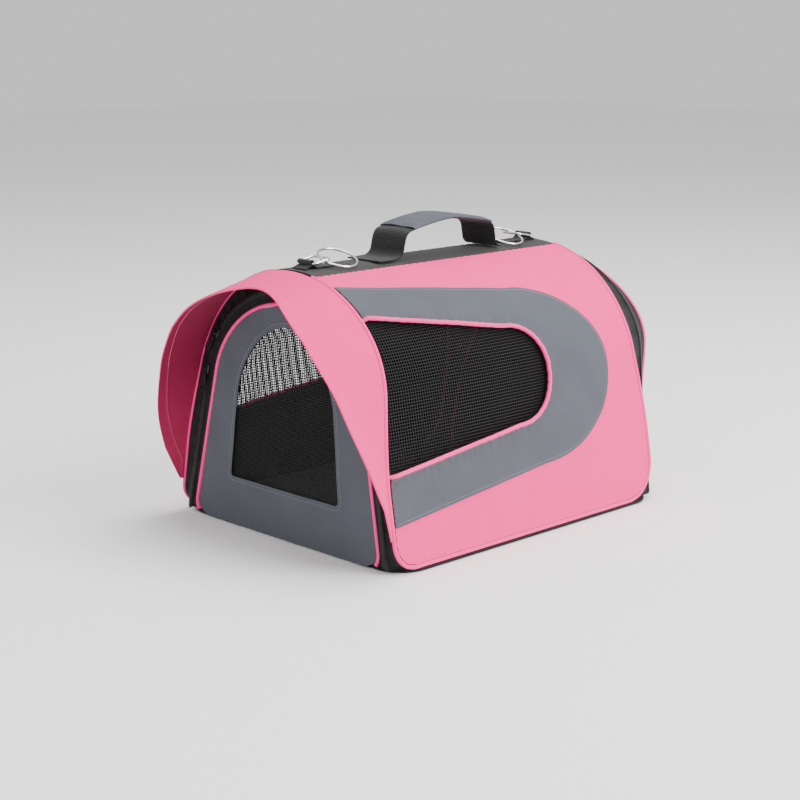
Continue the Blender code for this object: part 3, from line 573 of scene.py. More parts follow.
def onArch(s, lift=0.0):
    # y and z of the section at a signed run from the ridge, moved out by a lift
    run = np.abs(s)
    sign = np.where(np.asarray(s) < 0.0, -1.0, 1.0)
    y = np.interp(run, archLength, archPoints[:, 0]) + np.interp(run, archLength, archNormals[:, 0]) * lift
    z = np.interp(run, archLength, archPoints[:, 1]) + np.interp(run, archLength, archNormals[:, 1]) * lift
    return sign * y, z


def archNormal(s):
    run = np.abs(s)
    sign = np.where(np.asarray(s) < 0.0, -1.0, 1.0)
    sideways, upward = (np.interp(run, archLength, archNormals[:, k]) for k in (0, 1))
    return sign * sideways, upward


def runAtHeight(z):
    return np.interp(-np.asarray(z, float), -archPoints[:, 1], archLength)


def runAtWidth(width):
    return float(np.interp(width, archPoints[:, 0], archLength))


def bowAt(z):
    t = np.clip((z - panel["bowLow"]) / panel["bowSpan"], 0.0, 1.0)
    return panel["bow"] * 0.5 * (1.0 + np.cos(np.pi * t))


def edgeReach(z, radius, grow):
    reach = panel["halfLength"] + bowAt(z) + grow
    corner = radius + grow
    inner = corner - np.clip(z - (panel["bottom"] - grow), 0.0, corner)
    return reach - corner + np.sqrt(np.maximum(corner ** 2 - inner ** 2, 0.0))


def frontEdge(z, grow=0.0):
    return -edgeReach(z, panel["frontCorner"], grow)


def rearEdge(z, grow=0.0):
    return edgeReach(z, panel["rearCorner"], grow)


sTop = runAtWidth(panel["stripHalf"])
sBottom = float(runAtHeight(panel["bottom"]))


def waves(u, v, phase):
    return (np.sin(41.0 * u + 17.0 * v + phase) * np.sin(29.0 * v - 23.0 * u + 0.7 * phase)
            + 0.5 * np.sin(93.0 * u - 37.0 * v + 2.1 * phase) * np.sin(71.0 * v + 31.0 * u + phase))


def sideSwell(x, s, side):
    # soft fullness of a side panel between its seams
    z = onArch(s)[1]
    front, rear = frontEdge(z), rearEdge(z)
    a = np.clip((x - front) / (rear - front), 0.0, 1.0)
    b = np.clip((np.abs(s) - sTop) / (sBottom - sTop), 0.0, 1.0)
    fade = np.minimum(1.0, 6.0 * np.minimum(np.minimum(a, 1.0 - a), np.minimum(b, 1.0 - b)))
    dome = np.sin(np.pi * a) * np.sin(np.pi * b)
    return panel["swell"] * dome + panel["ripple"] * waves(x, np.abs(s), 1.3 + side) * fade


def sidePlace(side, lift, extra=None):
    def place(x, s):
        out = lift + sideSwell(x, s, side)
        if extra is not None:
            out = out + extra(x, s)
        y, z = onArch(s, out)
        return x, side * y, z
    return place


window = {"join": -0.010, "tip": 0.0413, "mid": 0.165, "rise": 0.050, "drop": 0.048, "topSlope": -0.155,
          "bottomSlope": 0.110, "power": 2.2}
band = {"join": 0.030, "tip": 0.142, "mid": 0.158, "rise": 0.0895, "drop": 0.0865, "topSlope": -0.098,
        "bottomSlope": 0.107, "power": 2.0}


def noseLine(shape):
    # window or band outline on the side, as x and run along the section
    frontX, count = -0.25, 90
    angles = np.pi * (0.5 - np.arange(count + 1) / count)
    c, s = np.abs(np.cos(angles)), np.abs(np.sin(angles))
    x = shape["join"] + (shape["tip"] - shape["join"]) * c ** (2.0 / shape["power"])
    high = np.where(angles > 0.0, shape["rise"], -shape["drop"])
    z = shape["mid"] + high * s ** (2.0 / shape["power"])
    ends = frontX - shape["join"]
    there = np.linspace(frontX, shape["join"], 40)[:-1]
    back = np.linspace(shape["join"], frontX, 40)[1:]
    x = np.concatenate([there, x, back])
    topZ = shape["mid"] + shape["rise"] + shape["topSlope"] * np.linspace(ends, 0.0, 40)[:-1]
    lowZ = shape["mid"] - shape["drop"] + shape["bottomSlope"] * np.linspace(0.0, ends, 40)[1:]
    z = np.concatenate([topZ, z, lowZ])
    return np.column_stack([x, runAtHeight(z)])


windowLine = noseLine(window)
bandLine = noseLine(band)
edgeRuns = np.linspace(sTop, sBottom, 160)
edgeZs = onArch(edgeRuns)[1]
frontLine = np.column_stack([frontEdge(edgeZs), edgeRuns])
rearLine = np.column_stack([rearEdge(edgeZs), edgeRuns])


def betweenEdges(x, s):
    z = onArch(s)[1]
    return (x > frontEdge(z)) & (x < rearEdge(z))


def puckers(lines, height, fade, pitch):
    # small gathers along seams, dying away from the stitching
    def extra(x, s):
        points = np.column_stack([x, np.abs(s)])
        total = np.zeros(len(x))
        for k, line in enumerate(lines):
            _, far, run = nearestOnLine(points, line)
            wobble = run / pitch + 0.35 * np.sin(run * 90.0 + k)
            total = total + height * np.exp(-far / fade) * (0.5 + 0.5 * np.sin(twoPi * wobble))
        return total
    return extra


netLook = {"sideCell": 0.0032, "open": 0.38, "thread": 0.0005, "lift": -0.0016, "border": 0.004}


def overOutline(outline, u, v):
    # inside an outline, or on the narrow border that is sewn under its edge
    _, far, _ = nearestOnLine(np.column_stack([u, v]), outline)
    return insideOutline(outline, u, v) | (far < netLook["border"])


def makeNet(item, share):
    # each cell is inset and its middle taken out, which leaves crossing threads
    noteCut(item)
    selectFaces(item, np.ones(len(item.data.polygons), bool))
    cell = math.sqrt(item.data.polygons[0].area)
    count = len(item.data.polygons)

    def insetCells():
        rim = 0.5 * cell * (1.0 - math.sqrt(share))
        bpy.ops.mesh.inset(use_individual=True, use_even_offset=False, thickness=rim)
    editMesh(item, insetCells)
    chosen = readAll(item.data.polygons, "select", kind=bool)
    print("  net cells:", count, "kept", int(chosen.sum()))
    selectFaces(item, chosen)
    editMesh(item, lambda: bpy.ops.mesh.delete(type="ONLY_FACE"))


def buildSide(prefix, side):
    body, cell = "shell", panel["cell"]
    centre = (0.0, 0.0, 0.12)
    # pink panel with its window opening
    reach, border = panel["reach"], netLook["border"]
    item = addGrid(prefix + "PinkPanel", (-reach, sTop), (reach, sBottom), (cell, cell))
    trimGrid(item, lambda x, s: betweenEdges(x, s) & ~insideOutline(windowLine, x, s))
    snapBorder(item, (frontLine, rearLine, windowLine), 0.0026)
    seams = (frontLine, rearLine, windowLine, np.array([[-0.25, sTop], [0.25, sTop]]))
    gather = (0.0007, 0.0045, 0.0085)  # height, fade and pitch of the gathers along the seams
    layOut(item, sidePlace(side, -0.0008, puckers(seams, *gather)))
    sewSheet(item, centre, panel["thickness"], body, "pink", [prefix + "_side_panel"],
             inner="lining")
    # gray band round the window
    item = addGrid(prefix + "GrayBand", (-reach, float(bandLine[:, 1].min())),
                   (band["tip"], float(bandLine[:, 1].max())), (panel["bandCell"], panel["bandCell"]))
    trimGrid(item, lambda x, s: (betweenEdges(x, s) & insideOutline(bandLine, x, s)
                                 & ~insideOutline(windowLine, x, s)))
    snapBorder(item, (frontLine, windowLine, bandLine), 0.0021)
    ripples = puckers((windowLine,), 0.0016, 0.0080, 0.0105)
    edgeGathers = puckers(seams[:3], *gather)

    def rippled(x, s):
        return ripples(x, s) + edgeGathers(x, s)
    layOut(item, sidePlace(side, 0.0008, rippled))
    sewSheet(item, centre, 0.0010, body, "gray", [prefix + "_gray_band"])
    # open net in the window
    item = addGrid(prefix + "WindowNet", (-reach, float(windowLine[:, 1].min()) - border),
                   (window["tip"] + border, float(windowLine[:, 1].max()) + border),
                   (netLook["sideCell"], netLook["sideCell"]))
    trimGrid(item, lambda x, s: betweenEdges(x - 0.001, s) & overOutline(windowLine, x, s))
    makeNet(item, netLook["open"])
    layOut(item, sidePlace(side, netLook["lift"]))
    sewSheet(item, centre, netLook["thread"], body, "net", [prefix + "_window_mesh"])
    # pink cord sewn round the window
    run = resample(windowLine, 0.0022)
    z = onArch(run[:, 1])[1]
    run = run[run[:, 0] > frontEdge(z) - 0.0016]
    near = np.clip((run[:, 0] - frontEdge(onArch(run[:, 1])[1])) / 0.006, -0.3, 1.0)
    seat = cordStep + 0.0010 + ripples(run[:, 0], run[:, 1]) * 0.35 - 0.0044 * (1.0 - near) ** 2
    x, y, z = sidePlace(side, 0.0)(run[:, 0], run[:, 1])
    ny, nz = archNormal(run[:, 1])
    cord = np.column_stack([x, y + side * ny * seat, z + nz * seat])
    item = addTube(prefix + "WindowPiping", resample(cord, 0.0018), cordRadius, sides=4)
    finishPiece(item, body, "pinkCord", [prefix + "_window_piping"])
    # stitches beside the cord and near the outer edge of the band
    for name, line, shift in (("BandStitches", bandLine, stitch["bandShift"]),
                              ("CordStitches", windowLine, stitch["cordShift"])):
        moved = besideLine(line, shift)
        moved = moved[moved[:, 0] > frontEdge(onArch(moved[:, 1])[1]) + 0.003]
        extra = rippled(moved[:, 0], moved[:, 1])
        x, y, z = sidePlace(side, panel["stitchLift"])(moved[:, 0], moved[:, 1])
        ny, nz = archNormal(moved[:, 1])
        spots = np.column_stack([x, y + side * ny * extra, z + nz * extra])
        outs = np.column_stack([np.zeros(len(x)), side * ny, nz])
        addStitches(prefix + name, spots, outs, body, "grayThread")
    # pink cord down the front and rear edges
    buildEdgeCord(prefix, side)


def edgeCordLine(side):
    rows = []
    heights = np.linspace(0.0056, arch["ridge"] - 0.0030, 110)
    for edge, order in ((frontEdge, heights[::-1]), (rearEdge, heights)):
        runs = runAtHeight(order)
        y, z = onArch(runs, -0.0008)
        rows.append(np.column_stack([edge(np.maximum(order, 0.0056), cordStep), side * y, z]))
    flatX = np.linspace(rows[0][-1][0], rows[1][0][0], 60)[1:-1]
    low = np.column_stack([flatX, np.full(58, rows[0][-1][1]), np.full(58, rows[0][-1][2])])
    return np.concatenate([rows[0], low, rows[1]])


def buildEdgeCord(prefix, side):
    item = addTube(prefix + "EdgePiping", resample(edgeCordLine(side), 0.0024), cordRadius, sides=4)
    finishPiece(item, "shell", "pinkCord", [prefix + "_edge_piping"])


for prefixName, sideSign in (("near", -1.0), ("far", 1.0)):
    buildSide(prefixName, sideSign)
print("sides ready")

# ---------- ends: doors, gussets and zips ----------

endLook = {
    "doorCorner": 0.014, "doorBottom": 0.0042, "panelThickness": 0.0016, "cell": 0.0030,
    "swell": 0.0030, "netCell": 0.0025, "netOpen": 0.38,
    "netLow": (-0.088, 0.0495), "netHigh": (0.088, 0.2265),
    "floor": 0.0058, "foot": 0.0034, "tapeThickness": 0.0011, "sag": 0.0018,
    "toothPitch": 0.0022, "toothSize": (0.0044, 0.00145, 0.0021), "toothIn": 0.0012, "toothOut": 0.0009,
}


def insetAt(end, z):
    if end < 0:
        return 0.0270 + 0.0360 * z
    return 0.0210 - 0.0350 * z * np.maximum(0.0, 1.0 - z / arch["ridge"])


def doorX(end, z):
    if end < 0:
        return -(0.2010 - 0.045 * z)
    return 0.2075 + 0.027 * np.exp(-((z - 0.190) / 0.070) ** 2)


def doorRim(end, s, grow):
    base = onArch(s)[1]
    y, z = onArch(s, -(insetAt(end, base) - grow))
    corner = endLook["doorCorner"] + grow
    inner = corner - np.clip(z - (endLook["doorBottom"] - grow), 0.0, corner)
    pull = corner - np.sqrt(np.maximum(corner ** 2 - inner ** 2, 0.0))
    return np.column_stack([doorX(end, z), y - np.sign(s) * pull, z])


def edgeCord(end, s):
    base = onArch(s)[1]
    y, z = onArch(s, -0.0008)
    x = (frontEdge if end < 0 else rearEdge)(np.maximum(base, 0.0056), cordStep)
    return np.column_stack([x, y, z])


def zipLine(end, s):
    base = onArch(s)[1]
    y, z = onArch(s, -(0.56 if end < 0 else 0.46) * insetAt(end, base))
    if end < 0:
        x = -(0.2030 - 0.052 * z)
    else:
        inner = rearEdge(np.maximum(base, 0.048), cordStep)
        x = inner + (doorRim(end, s, cordStep)[:, 0] - inner) * 0.58
    return np.column_stack([x, y, z])


def lowestRun(curve, end, floor=None):
    runs = np.linspace(sBottom * 0.75, archLength[-1], 600)
    heights = curve(end, runs)[:, 2]
    return float(np.interp(-(floor or endLook["floor"]), -heights, runs))


def rimOf(end, s):
    return doorRim(end, s, cordStep)


def doorWindowLine():
    half, shoulder, corner, bottom = 0.084, 0.075, 0.004, 0.0535
    turn = np.radians(np.linspace(0.0, 90.0, 8))
    low = np.column_stack([half - corner + corner * np.sin(turn), bottom + corner - corner * np.cos(turn)])
    turn = np.linspace(0.0, 0.5 * np.pi, 60)
    power = 2.0 / 1.75
    high = np.column_stack([shoulder * np.cos(turn) ** power, 0.140 + 0.0825 * np.sin(turn) ** power])
    right = np.concatenate([low, high])
    left = right[::-1][1:] * np.array([-1.0, 1.0])
    return np.concatenate([right, left, right[:1]])


doorWindow = doorWindowLine()


def doorOutline(end):
    low = lowestRun(rimOf, end)
    runs = np.linspace(-low - 0.004, low + 0.004, 400)
    rim = doorRim(end, runs, 0.0)[:, 1:]
    return np.concatenate([rim, rim[:1]])


def doorSwell(end, y, z):
    top = 0.262 if end < 0 else 0.258
    dome = np.cos(0.5 * np.pi * np.clip(y / 0.135, -1.0, 1.0)) * np.sin(np.pi * np.clip(z / top, 0.0, 1.0))
    return end * (endLook["swell"] * dome + 0.0005 * waves(y, z, 2.6 + end))


def doorPlace(end, lift, extra=None):
    def place(y, z):
        out = doorSwell(end, y, z) + end * lift
        if extra is not None:
            out = out + end * extra(y, z)
        return doorX(end, z) + out, y, z
    return place


def buildDoor(prefix, end):
    body = prefix + "_door"
    outline = doorOutline(end)
    centre = (0.0, 0.0, 0.12)
    size = (outline[:, 0].max(), outline[:, 1].min(), outline[:, 1].max())
    look, slotName = ("gray", "gray_fabric") if end < 0 else ("pink", "pink_fabric")
    cell = endLook["cell"]
    item = addGrid(prefix + "DoorPanel", (-size[0], size[1]), (size[0], size[2]), (cell, cell))
    trimGrid(item, lambda y, z: insideOutline(outline, y, z) & ~insideOutline(doorWindow, y, z))
    snapBorder(item, (outline, doorWindow), 0.0028)

    def hem(y, z):
        # the turned edge round the window stands a little proud
        _, far, _ = nearestOnLine(np.column_stack([y, z]), doorWindow)
        return 0.0006 * np.clip((0.0062 - far) / 0.0014, 0.0, 1.0)

    def gathered(y, z):
        _, far, run = nearestOnLine(np.column_stack([y, z]), outline)
        return 0.0007 * np.exp(-far / 0.005) * (0.5 + 0.5 * np.sin(twoPi * run / 0.010)) + hem(y, z)
    layOut(item, doorPlace(end, -0.0008, gathered))
    sewSheet(item, centre, endLook["panelThickness"], body, look, [prefix + "_door_panel"],
             inner="lining")
    # net in the door, finer than the side nets
    step = endLook["netCell"]
    item = addGrid(prefix + "DoorNet", endLook["netLow"], endLook["netHigh"], (step, step))
    trimGrid(item, lambda y, z: overOutline(doorWindow, y, z))
    makeNet(item, endLook["netOpen"])
    layOut(item, doorPlace(end, -0.0022))
    sewSheet(item, centre, netLook["thread"], body, "net", [prefix + "_door_mesh"])
    if end > 0:
        # a black sheet behind the rear net is painted shade: it stands in for the dark inside, since no
        # light comes through it
        item = addGrid(prefix + "NetPaintedShadeSheet", endLook["netLow"], endLook["netHigh"], (0.004, 0.004))
        trimGrid(item, lambda y, z: overOutline(doorWindow, y, z))
        layOut(item, doorPlace(end, -0.0040))
        sewSheet(item, centre, 0.0005, body, "lining")
    # cord round the door
    low = lowestRun(rimOf, end)
    cord = doorRim(end, np.linspace(-low, low, 500), cordStep)
    item = addTube(prefix + "DoorPiping", resample(cord, 0.0024), cordRadius, sides=4)
    finishPiece(item, body, "pinkCord", [prefix + "_door_piping"])
    # stitches round the window's turned edge
    moved = besideLine(doorWindow, stitch["doorShift"])
    x, y, z = doorPlace(end, 0.0001, hem)(moved[:, 0], moved[:, 1])
    outs = np.tile([float(end), 0.0, 0.0], (len(x), 1))
    thread = "grayThread" if end < 0 else "pinkThread"
    addStitches(prefix + "DoorStitches", np.column_stack([x, y, z]), outs, body, thread)


def stripBetween(name, first, second, start, stop, body, nodes, sag, centre):
    # a strip of cloth from one line to another, sagging a little between them
    count = len(first)
    item = addGrid(name, (0.0, 0.0), (1.0, 1.0), (1.0 / (count - 1), 1.0 / 6))
    flat = readPoints(item)
    k = np.clip(np.round(flat[:, 0] * (count - 1)).astype(int), 0, count - 1)
    wide = np.linalg.norm(second - first, axis=1)
    low, high = start / wide, 1.0 - stop / wide
    t = low[k] + (high - low)[k] * flat[:, 1]
    spots = first[k] * (1.0 - t)[:, None] + second[k] * t[:, None]
    inward = np.array(centre) - spots
    inward[:, 1] *= np.clip(1.0 - np.abs(spots[:, 1]) / 0.4, 0.5, 1.0)
    inward = unit(inward)
    runs = runsAlong(first)
    creases = 1.0 + 0.5 * np.sin(runs[k] * 160.0) + 0.3 * np.sin(runs[k] * 371.0)
    dip = np.sin(np.pi * flat[:, 1]) * sag * creases
    width = wide.mean() - start - stop
    setThreads(item, np.column_stack([runs[k], flat[:, 1] * width]))
    writePoints(item, spots + inward * dip[:, None])
    sewSheet(item, centre, endLook["tapeThickness"], body, "tape", nodes)


def buildGusset(prefix, end):
    count = 260
    lows = [lowestRun(curve, end) for curve in (edgeCord, zipLine, rimOf)]
    turns = np.linspace(-1.0, 1.0, count)
    edge, middle, rim = (curve(end, turns * low) for curve, low in zip((edgeCord, zipLine, rimOf), lows))
    centre = (0.0, 0.0, 0.10)
    room = 0.0019
    # the fixed tape reaches down to the base
    fixedEdge, fixedMiddle = (curve(end, turns * lowestRun(curve, end, endLook["foot"]))
                              for curve in (edgeCord, zipLine))
    stripBetween(prefix + "GussetBodyTape", fixedEdge, fixedMiddle, room, 0.0004, "shell",
                 [prefix + "_gusset_body_tape"], endLook["sag"], centre)
    stripBetween(prefix + "GussetDoorTape", middle, rim, 0.0004, room, prefix + "_door",
                 [prefix + "_gusset_door_tape"], endLook["sag"] * 0.5, centre)
    # the coil: one tooth copied along each half of the zip
    line = resample(np.concatenate([middle, edge, rim], axis=1), 0.0005)
    runs = runsAlong(line[:, :3])
    for name, side, body, node in (("ZipBodyTeeth", 3, "shell", "_zip_body_teeth"),
                                   ("ZipDoorTeeth", 6, prefix + "_door", "_zip_door_teeth")):
        first = 0.5 * endLook["toothPitch"] * (1.0 if side == 6 else 0.0)
        spots = np.arange(first, runs[-1], endLook["toothPitch"])
        centres = rowsAt(line[:, :3], runs, spots)
        toward = rowsAt(line[:, side:side + 3], runs, spots) - centres
        alongs = unit(np.gradient(centres, axis=0))
        toward = unit(toward - alongs * (toward * alongs).sum(1)[:, None])
        outs = np.cross(toward, alongs)
        outs = outs * np.sign((outs * (centres - np.array(centre))).sum(1))[:, None]
        seed = addSeed(8, 5, endLook["toothSize"])
        places = centres + toward * endLook["toothIn"] + outs * endLook["toothOut"]
        item = copyAlong(prefix + name, seed, places, toward, outs)
        finishPiece(item, body, "teeth", [prefix + node])


for prefixName, endSign in (("front", -1), ("rear", 1)):
    buildDoor(prefixName, endSign)
    buildGusset(prefixName, endSign)
print("ends ready")

# ---------- hood ----------

hoodLook = {"depth": 0.068, "dip": 0.024, "dipHalf": 0.100, "tip": 0.030, "start": 0.036, "full": 0.226,
            "curve": 1.28, "thickness": 0.0017, "flare": 0.014, "droop": 0.0135, "flareLow": 0.085,
            "flareHigh": 0.240, "hem": 0.0095}


def smoothStep(value, low, high):
    t = np.clip((value - low) / (high - low), 0.0, 1.0)
    return t * t * (3.0 - 2.0 * t)


def hoodPlace(s, run, lift=0.0):
    width, z = onArch(s)
    width = np.abs(width)
    t = np.clip((z - hoodLook["tip"]) / (hoodLook["full"] - hoodLook["tip"]), 0.0, 1.0)
    depth = hoodLook["depth"] * (1.0 - (1.0 - t) ** hoodLook["curve"])
    depth = depth - hoodLook["dip"] * np.cos(0.5 * np.pi * np.minimum(width / hoodLook["dipHalf"], 1.0)) ** 2
    flare = hoodLook["flare"] * np.minimum(1.0, 4.0 * depth / hoodLook["depth"])
    swell = flare - (flare + hoodLook["droop"]) * smoothStep(z, hoodLook["flareLow"], hoodLook["flareHigh"])
    x = frontEdge(z, 2.0 * cordStep) - depth * run
    hemFrom = 1.0 - hoodLook["hem"] / np.maximum(depth, 0.012)
    hemRise = 0.0003 * np.clip((run - hemFrom) * depth / 0.001, 0.0, 1.0)
    dent = -0.0004 * np.exp(-((run - hemFrom) * depth / 0.0009) ** 2)
    fold = 0.0008 * waves(s * 0.8, run * 0.06, 4.4) * run
    inward = run * depth
    gathers = 0.0006 * np.exp(-inward / 0.006) * np.sin(twoPi * s / 0.0095) * np.minimum(1.0, inward / 0.004)
    y, zz = onArch(s, -0.0008 + swell * run + hemRise + dent + fold + gathers + lift)
    return np.column_stack([x, y, zz]), depth, hemFrom


def buildHood():
    low = float(runAtHeight(hoodLook["start"]))
    item = addGrid("hoodSheet", (-low, 0.0), (low, 1.0), (0.0028, 1.0 / 30.0))
    flat = readPoints(item)
    spots, depth, _ = hoodPlace(flat[:, 0], flat[:, 1])
    setThreads(item, np.column_stack([flat[:, 0], flat[:, 1] * np.maximum(depth, 0.01)]))
    writePoints(item, spots)
    # the inner face takes the darker pink, painted shade under the hood
    sewSheet(item, (-0.20, 0.0, 0.10), hoodLook["thickness"], "shell", "pink", ["hood"],
             inner="pinkPaintedShadeInside")
    s = np.linspace(-low + 0.02, low - 0.02, 500)
    _, depth, hemFrom = hoodPlace(s, np.ones(500))
    for name, lift in (("hoodHemStitches", 0.5 * hoodLook["thickness"]),
                       ("hoodInnerStitches", -0.5 * hoodLook["thickness"])):
        spots, _, _ = hoodPlace(s, hemFrom, lift)
        ny, nz = archNormal(s)
        outs = np.column_stack([np.zeros(500), ny, nz]) * math.copysign(1.0, lift)
        addStitches(name, spots, outs, "shell", "pinkThread")


buildHood()
print("hood ready")

# ---------- ridge: strip, handle, tabs and rings ----------

handleLook = {"front": -0.049, "rear": 0.0905, "tail": 0.036, "rearTail": 0.011, "corner": 0.0300,
              "crown": 0.0395, "half": 0.025, "thickness": 0.0015, "gripHalf": 0.0275,
              "gripThickness": 0.0064}


def handlePath():
    low = arch["ridge"] + gap + 0.5 * handleLook["thickness"]
    corner, crown = arch["ridge"] + handleLook["corner"], arch["ridge"] + handleLook["crown"]
    f, r = handleLook["front"], handleLook["rear"]
    span = r - f
    rows = np.array([
        (f - handleLook["tail"], low), (f - 0.020, low), (f - 0.009, low + 0.0010),
        (f - 0.0025, low + 0.0060),
        (f, low + 0.0150), (f + 0.0040, corner - 0.0035), (f + 0.0140, corner + 0.0015),
        (f + 0.34 * span, crown - 0.0020), (f + 0.54 * span, crown), (f + 0.76 * span, crown - 0.0040),
        (r - 0.0100, corner + 0.0010), (r - 0.0020, corner - 0.0050), (r, low + 0.0140),
        (r + 0.0015, low + 0.0055), (r + 0.0060, low + 0.0010), (r + handleLook["rearTail"], low)])
    padded = np.concatenate([rows[:1], rows, rows[-1:]])
    out = []
    for k in range(len(rows) - 1):
        p0, p1, p2, p3 = padded[k:k + 4]
        for t in np.linspace(0.0, 1.0, 10)[:-1]:
            out.append(0.5 * (2 * p1 + (p2 - p0) * t + (2 * p0 - 5 * p1 + 4 * p2 - p3) * t * t
                              + (3 * p1 - p0 - 3 * p2 + p3) * t ** 3))
    out.append(rows[-1])
    return np.array(out)


def buildStrap(name, path, half, thickness, body, look, nodes, columns=14, shape=None):
    # a strap following a path in the bag's middle plane
    path = resample(path, 0.0016)
    count = len(path)
    item = addGrid(name, (0.0, -half), (1.0, half), (1.0 / (count - 1), 2.0 * half / columns))
    flat = readPoints(item)
    k = np.clip(np.round(flat[:, 0] * (count - 1)).astype(int), 0, count - 1)
    tangent = unit(np.gradient(path, axis=0))
    lift = shape(k / (count - 1), flat[:, 1] / half) if shape else 0.0
    runs = runsAlong(path)
    setThreads(item, np.column_stack([flat[:, 1], runs[k]]))
    x, z = path[k, 0] - tangent[k, 1] * lift, path[k, 1] + tangent[k, 0] * lift
    writePoints(item, np.column_stack([x, flat[:, 1], z]))
    thicken(item, thickness)
    applyModifier(item, "softEdges", "BEVEL", width=0.00035, segments=2, limit_method="ANGLE",
                  angle_limit=math.radians(50.0))
    finishPiece(item, body, look, nodes)


def buildRidge():
    half = panel["stripHalf"] - 0.0002
    top = arch["ridge"]
    corners = ((float(frontEdge(top)), -sTop + 0.0002), (float(rearEdge(top)), sTop - 0.0002))
    item = addGrid("ridgeWebbing", *corners, (0.0030, 0.0030))

    def place(x, s):
        nearEdge = np.clip((np.abs(s) - half + 0.006) / 0.006, 0.0, 1.0)
        scallop = 0.0006 * (0.5 + 0.5 * np.sin(twoPi * x / 0.0105)) * nearEdge
        y, z = onArch(s, -0.0008 + scallop)
        return x, y, z
    layOut(item, place)
    sewSheet(item, (0.0, 0.0, 0.10), 0.0016, "shell", "webbing", ["ridge_strip"])
    path = handlePath()
    curl = 0.0012

    def cup(t, across):
        return -curl * across ** 2 * np.clip(np.minimum(t - 0.22, 0.93 - t) * 12.0, 0.0, 1.0)
    buildStrap("handleStrap", path, handleLook["half"], handleLook["thickness"], "shell", "webbing",
               ["handle_webbing"], shape=cup)
    buildGrip(path)
    # crossed stitching at both tails
    low = arch["ridge"] + gap + handleLook["thickness"]
    for name, x0, x1 in (("frontHandleStitches", handleLook["front"] - 0.0335, handleLook["front"] - 0.0130),
                         ("rearHandleStitches", handleLook["rear"] + 0.0055, handleLook["rear"] + 0.0095)):
        y0 = handleLook["half"] - 0.0030
        corners = [(x0, -y0), (x1, -y0), (x1, y0), (x0, y0), (x0, -y0), (x1, y0)]
        line = resample(np.array([(x, y, low) for x, y in corners]), 0.0010)
        outs = np.tile([0.0, 0.0, 1.0], (len(line), 1))
        addStitches(name, line, outs, "shell", "blackThread")


def buildGrip(path):
    # fabric folded round the webbing, a closed sleeve with its seam on top
    runs = resample(path, 0.0012)
    first = np.argmin(np.linalg.norm(runs - path[54], axis=1))
    last = np.argmin(np.linalg.norm(runs - path[92], axis=1))
    centre = runs[first:last + 1]
    tangent = unit(np.gradient(centre, axis=0))
    around = 48
    turn = np.linspace(0.0, twoPi, around + 1)
    half, high = handleLook["gripHalf"] - 0.0008, 0.5 * handleLook["gripThickness"] - 0.0005
    cosT, sinT = np.cos(turn), np.sin(turn)
    ringY = half * np.sign(cosT) * np.abs(cosT) ** 0.55
    ringZ = high * np.sign(sinT) * np.abs(sinT) ** 0.75
    item = addGrid("gripSleeve", (0.0, 0.0), (1.0, 1.0), (1.0 / (len(centre) - 1), 1.0 / around))
    flat = readPoints(item)
    k = np.clip(np.round(flat[:, 0] * (len(centre) - 1)).astype(int), 0, len(centre) - 1)
    m = np.clip(np.round(flat[:, 1] * around).astype(int), 0, around)
    spread = 1.0 - 0.10 * np.exp(-(k / 3.0) ** 2) - 0.10 * np.exp(-((len(centre) - 1 - k) / 3.0) ** 2)
    crease = 0.0006 * np.sin(k * 0.55 + ringY[m] * 190.0) * np.sin(k * 0.21 + 1.0)
    lift = ringZ[m] * spread + crease * np.abs(sinT[m])
    x, z = centre[k, 0] - tangent[k, 1] * lift, centre[k, 1] + tangent[k, 0] * lift
    spots = np.column_stack([x, ringY[m], z])
    setThreads(item, np.column_stack([flat[:, 1] * 0.118, flat[:, 0] * 0.12]))
    writePoints(item, spots)
    selectFaces(item, np.ones(len(item.data.polygons), bool))
    bpy.context.tool_settings.mesh_select_mode = (True, False, False)
    item.data.vertices.foreach_set("select", np.ones(len(item.data.vertices), bool))
    editMesh(item, lambda: bpy.ops.mesh.remove_doubles(threshold=0.00002),
             lambda: bpy.ops.mesh.normals_make_consistent(inside=False))
    thicken(item, 0.0009, offset=-1.0)
    finishPiece(item, "shell", "gray", ["handle_grip"])
    inner = centre[3:-3]
    line = np.column_stack([inner[:, 0], np.full(len(inner), 0.0215), inner[:, 1] + high + 0.0001])
    outs = np.tile([0.0, 0.0, 1.0], (len(line), 1))
    addStitches("gripStitches", line, outs, "shell", "grayThread")


buildRidge()

tabLook = {"x": 0.165, "half": 0.010, "outer": 0.010, "inner": 0.042, "thickness": 0.0015, "loop": 0.0040}
ringLook = {"wire": 0.0013, "barHeight": 0.0058, "half": 0.0130, "length": 0.022, "corner": 0.0040,
            "lift": 10.0, "round": 0.0210}


def roundedLoop(halfX, halfY, radius, steps):
    rows = []
    for cx, cy, start in ((1, 1, 0), (-1, 1, 90), (-1, -1, 180), (1, -1, 270)):
        for k in range(steps + 1):
            angle = math.radians(start + 90.0 * k / steps)
            rows.append((cx * (halfX - radius) + radius * math.cos(angle),
                         cy * (halfY - radius) + radius * math.sin(angle)))
    return np.array(rows)


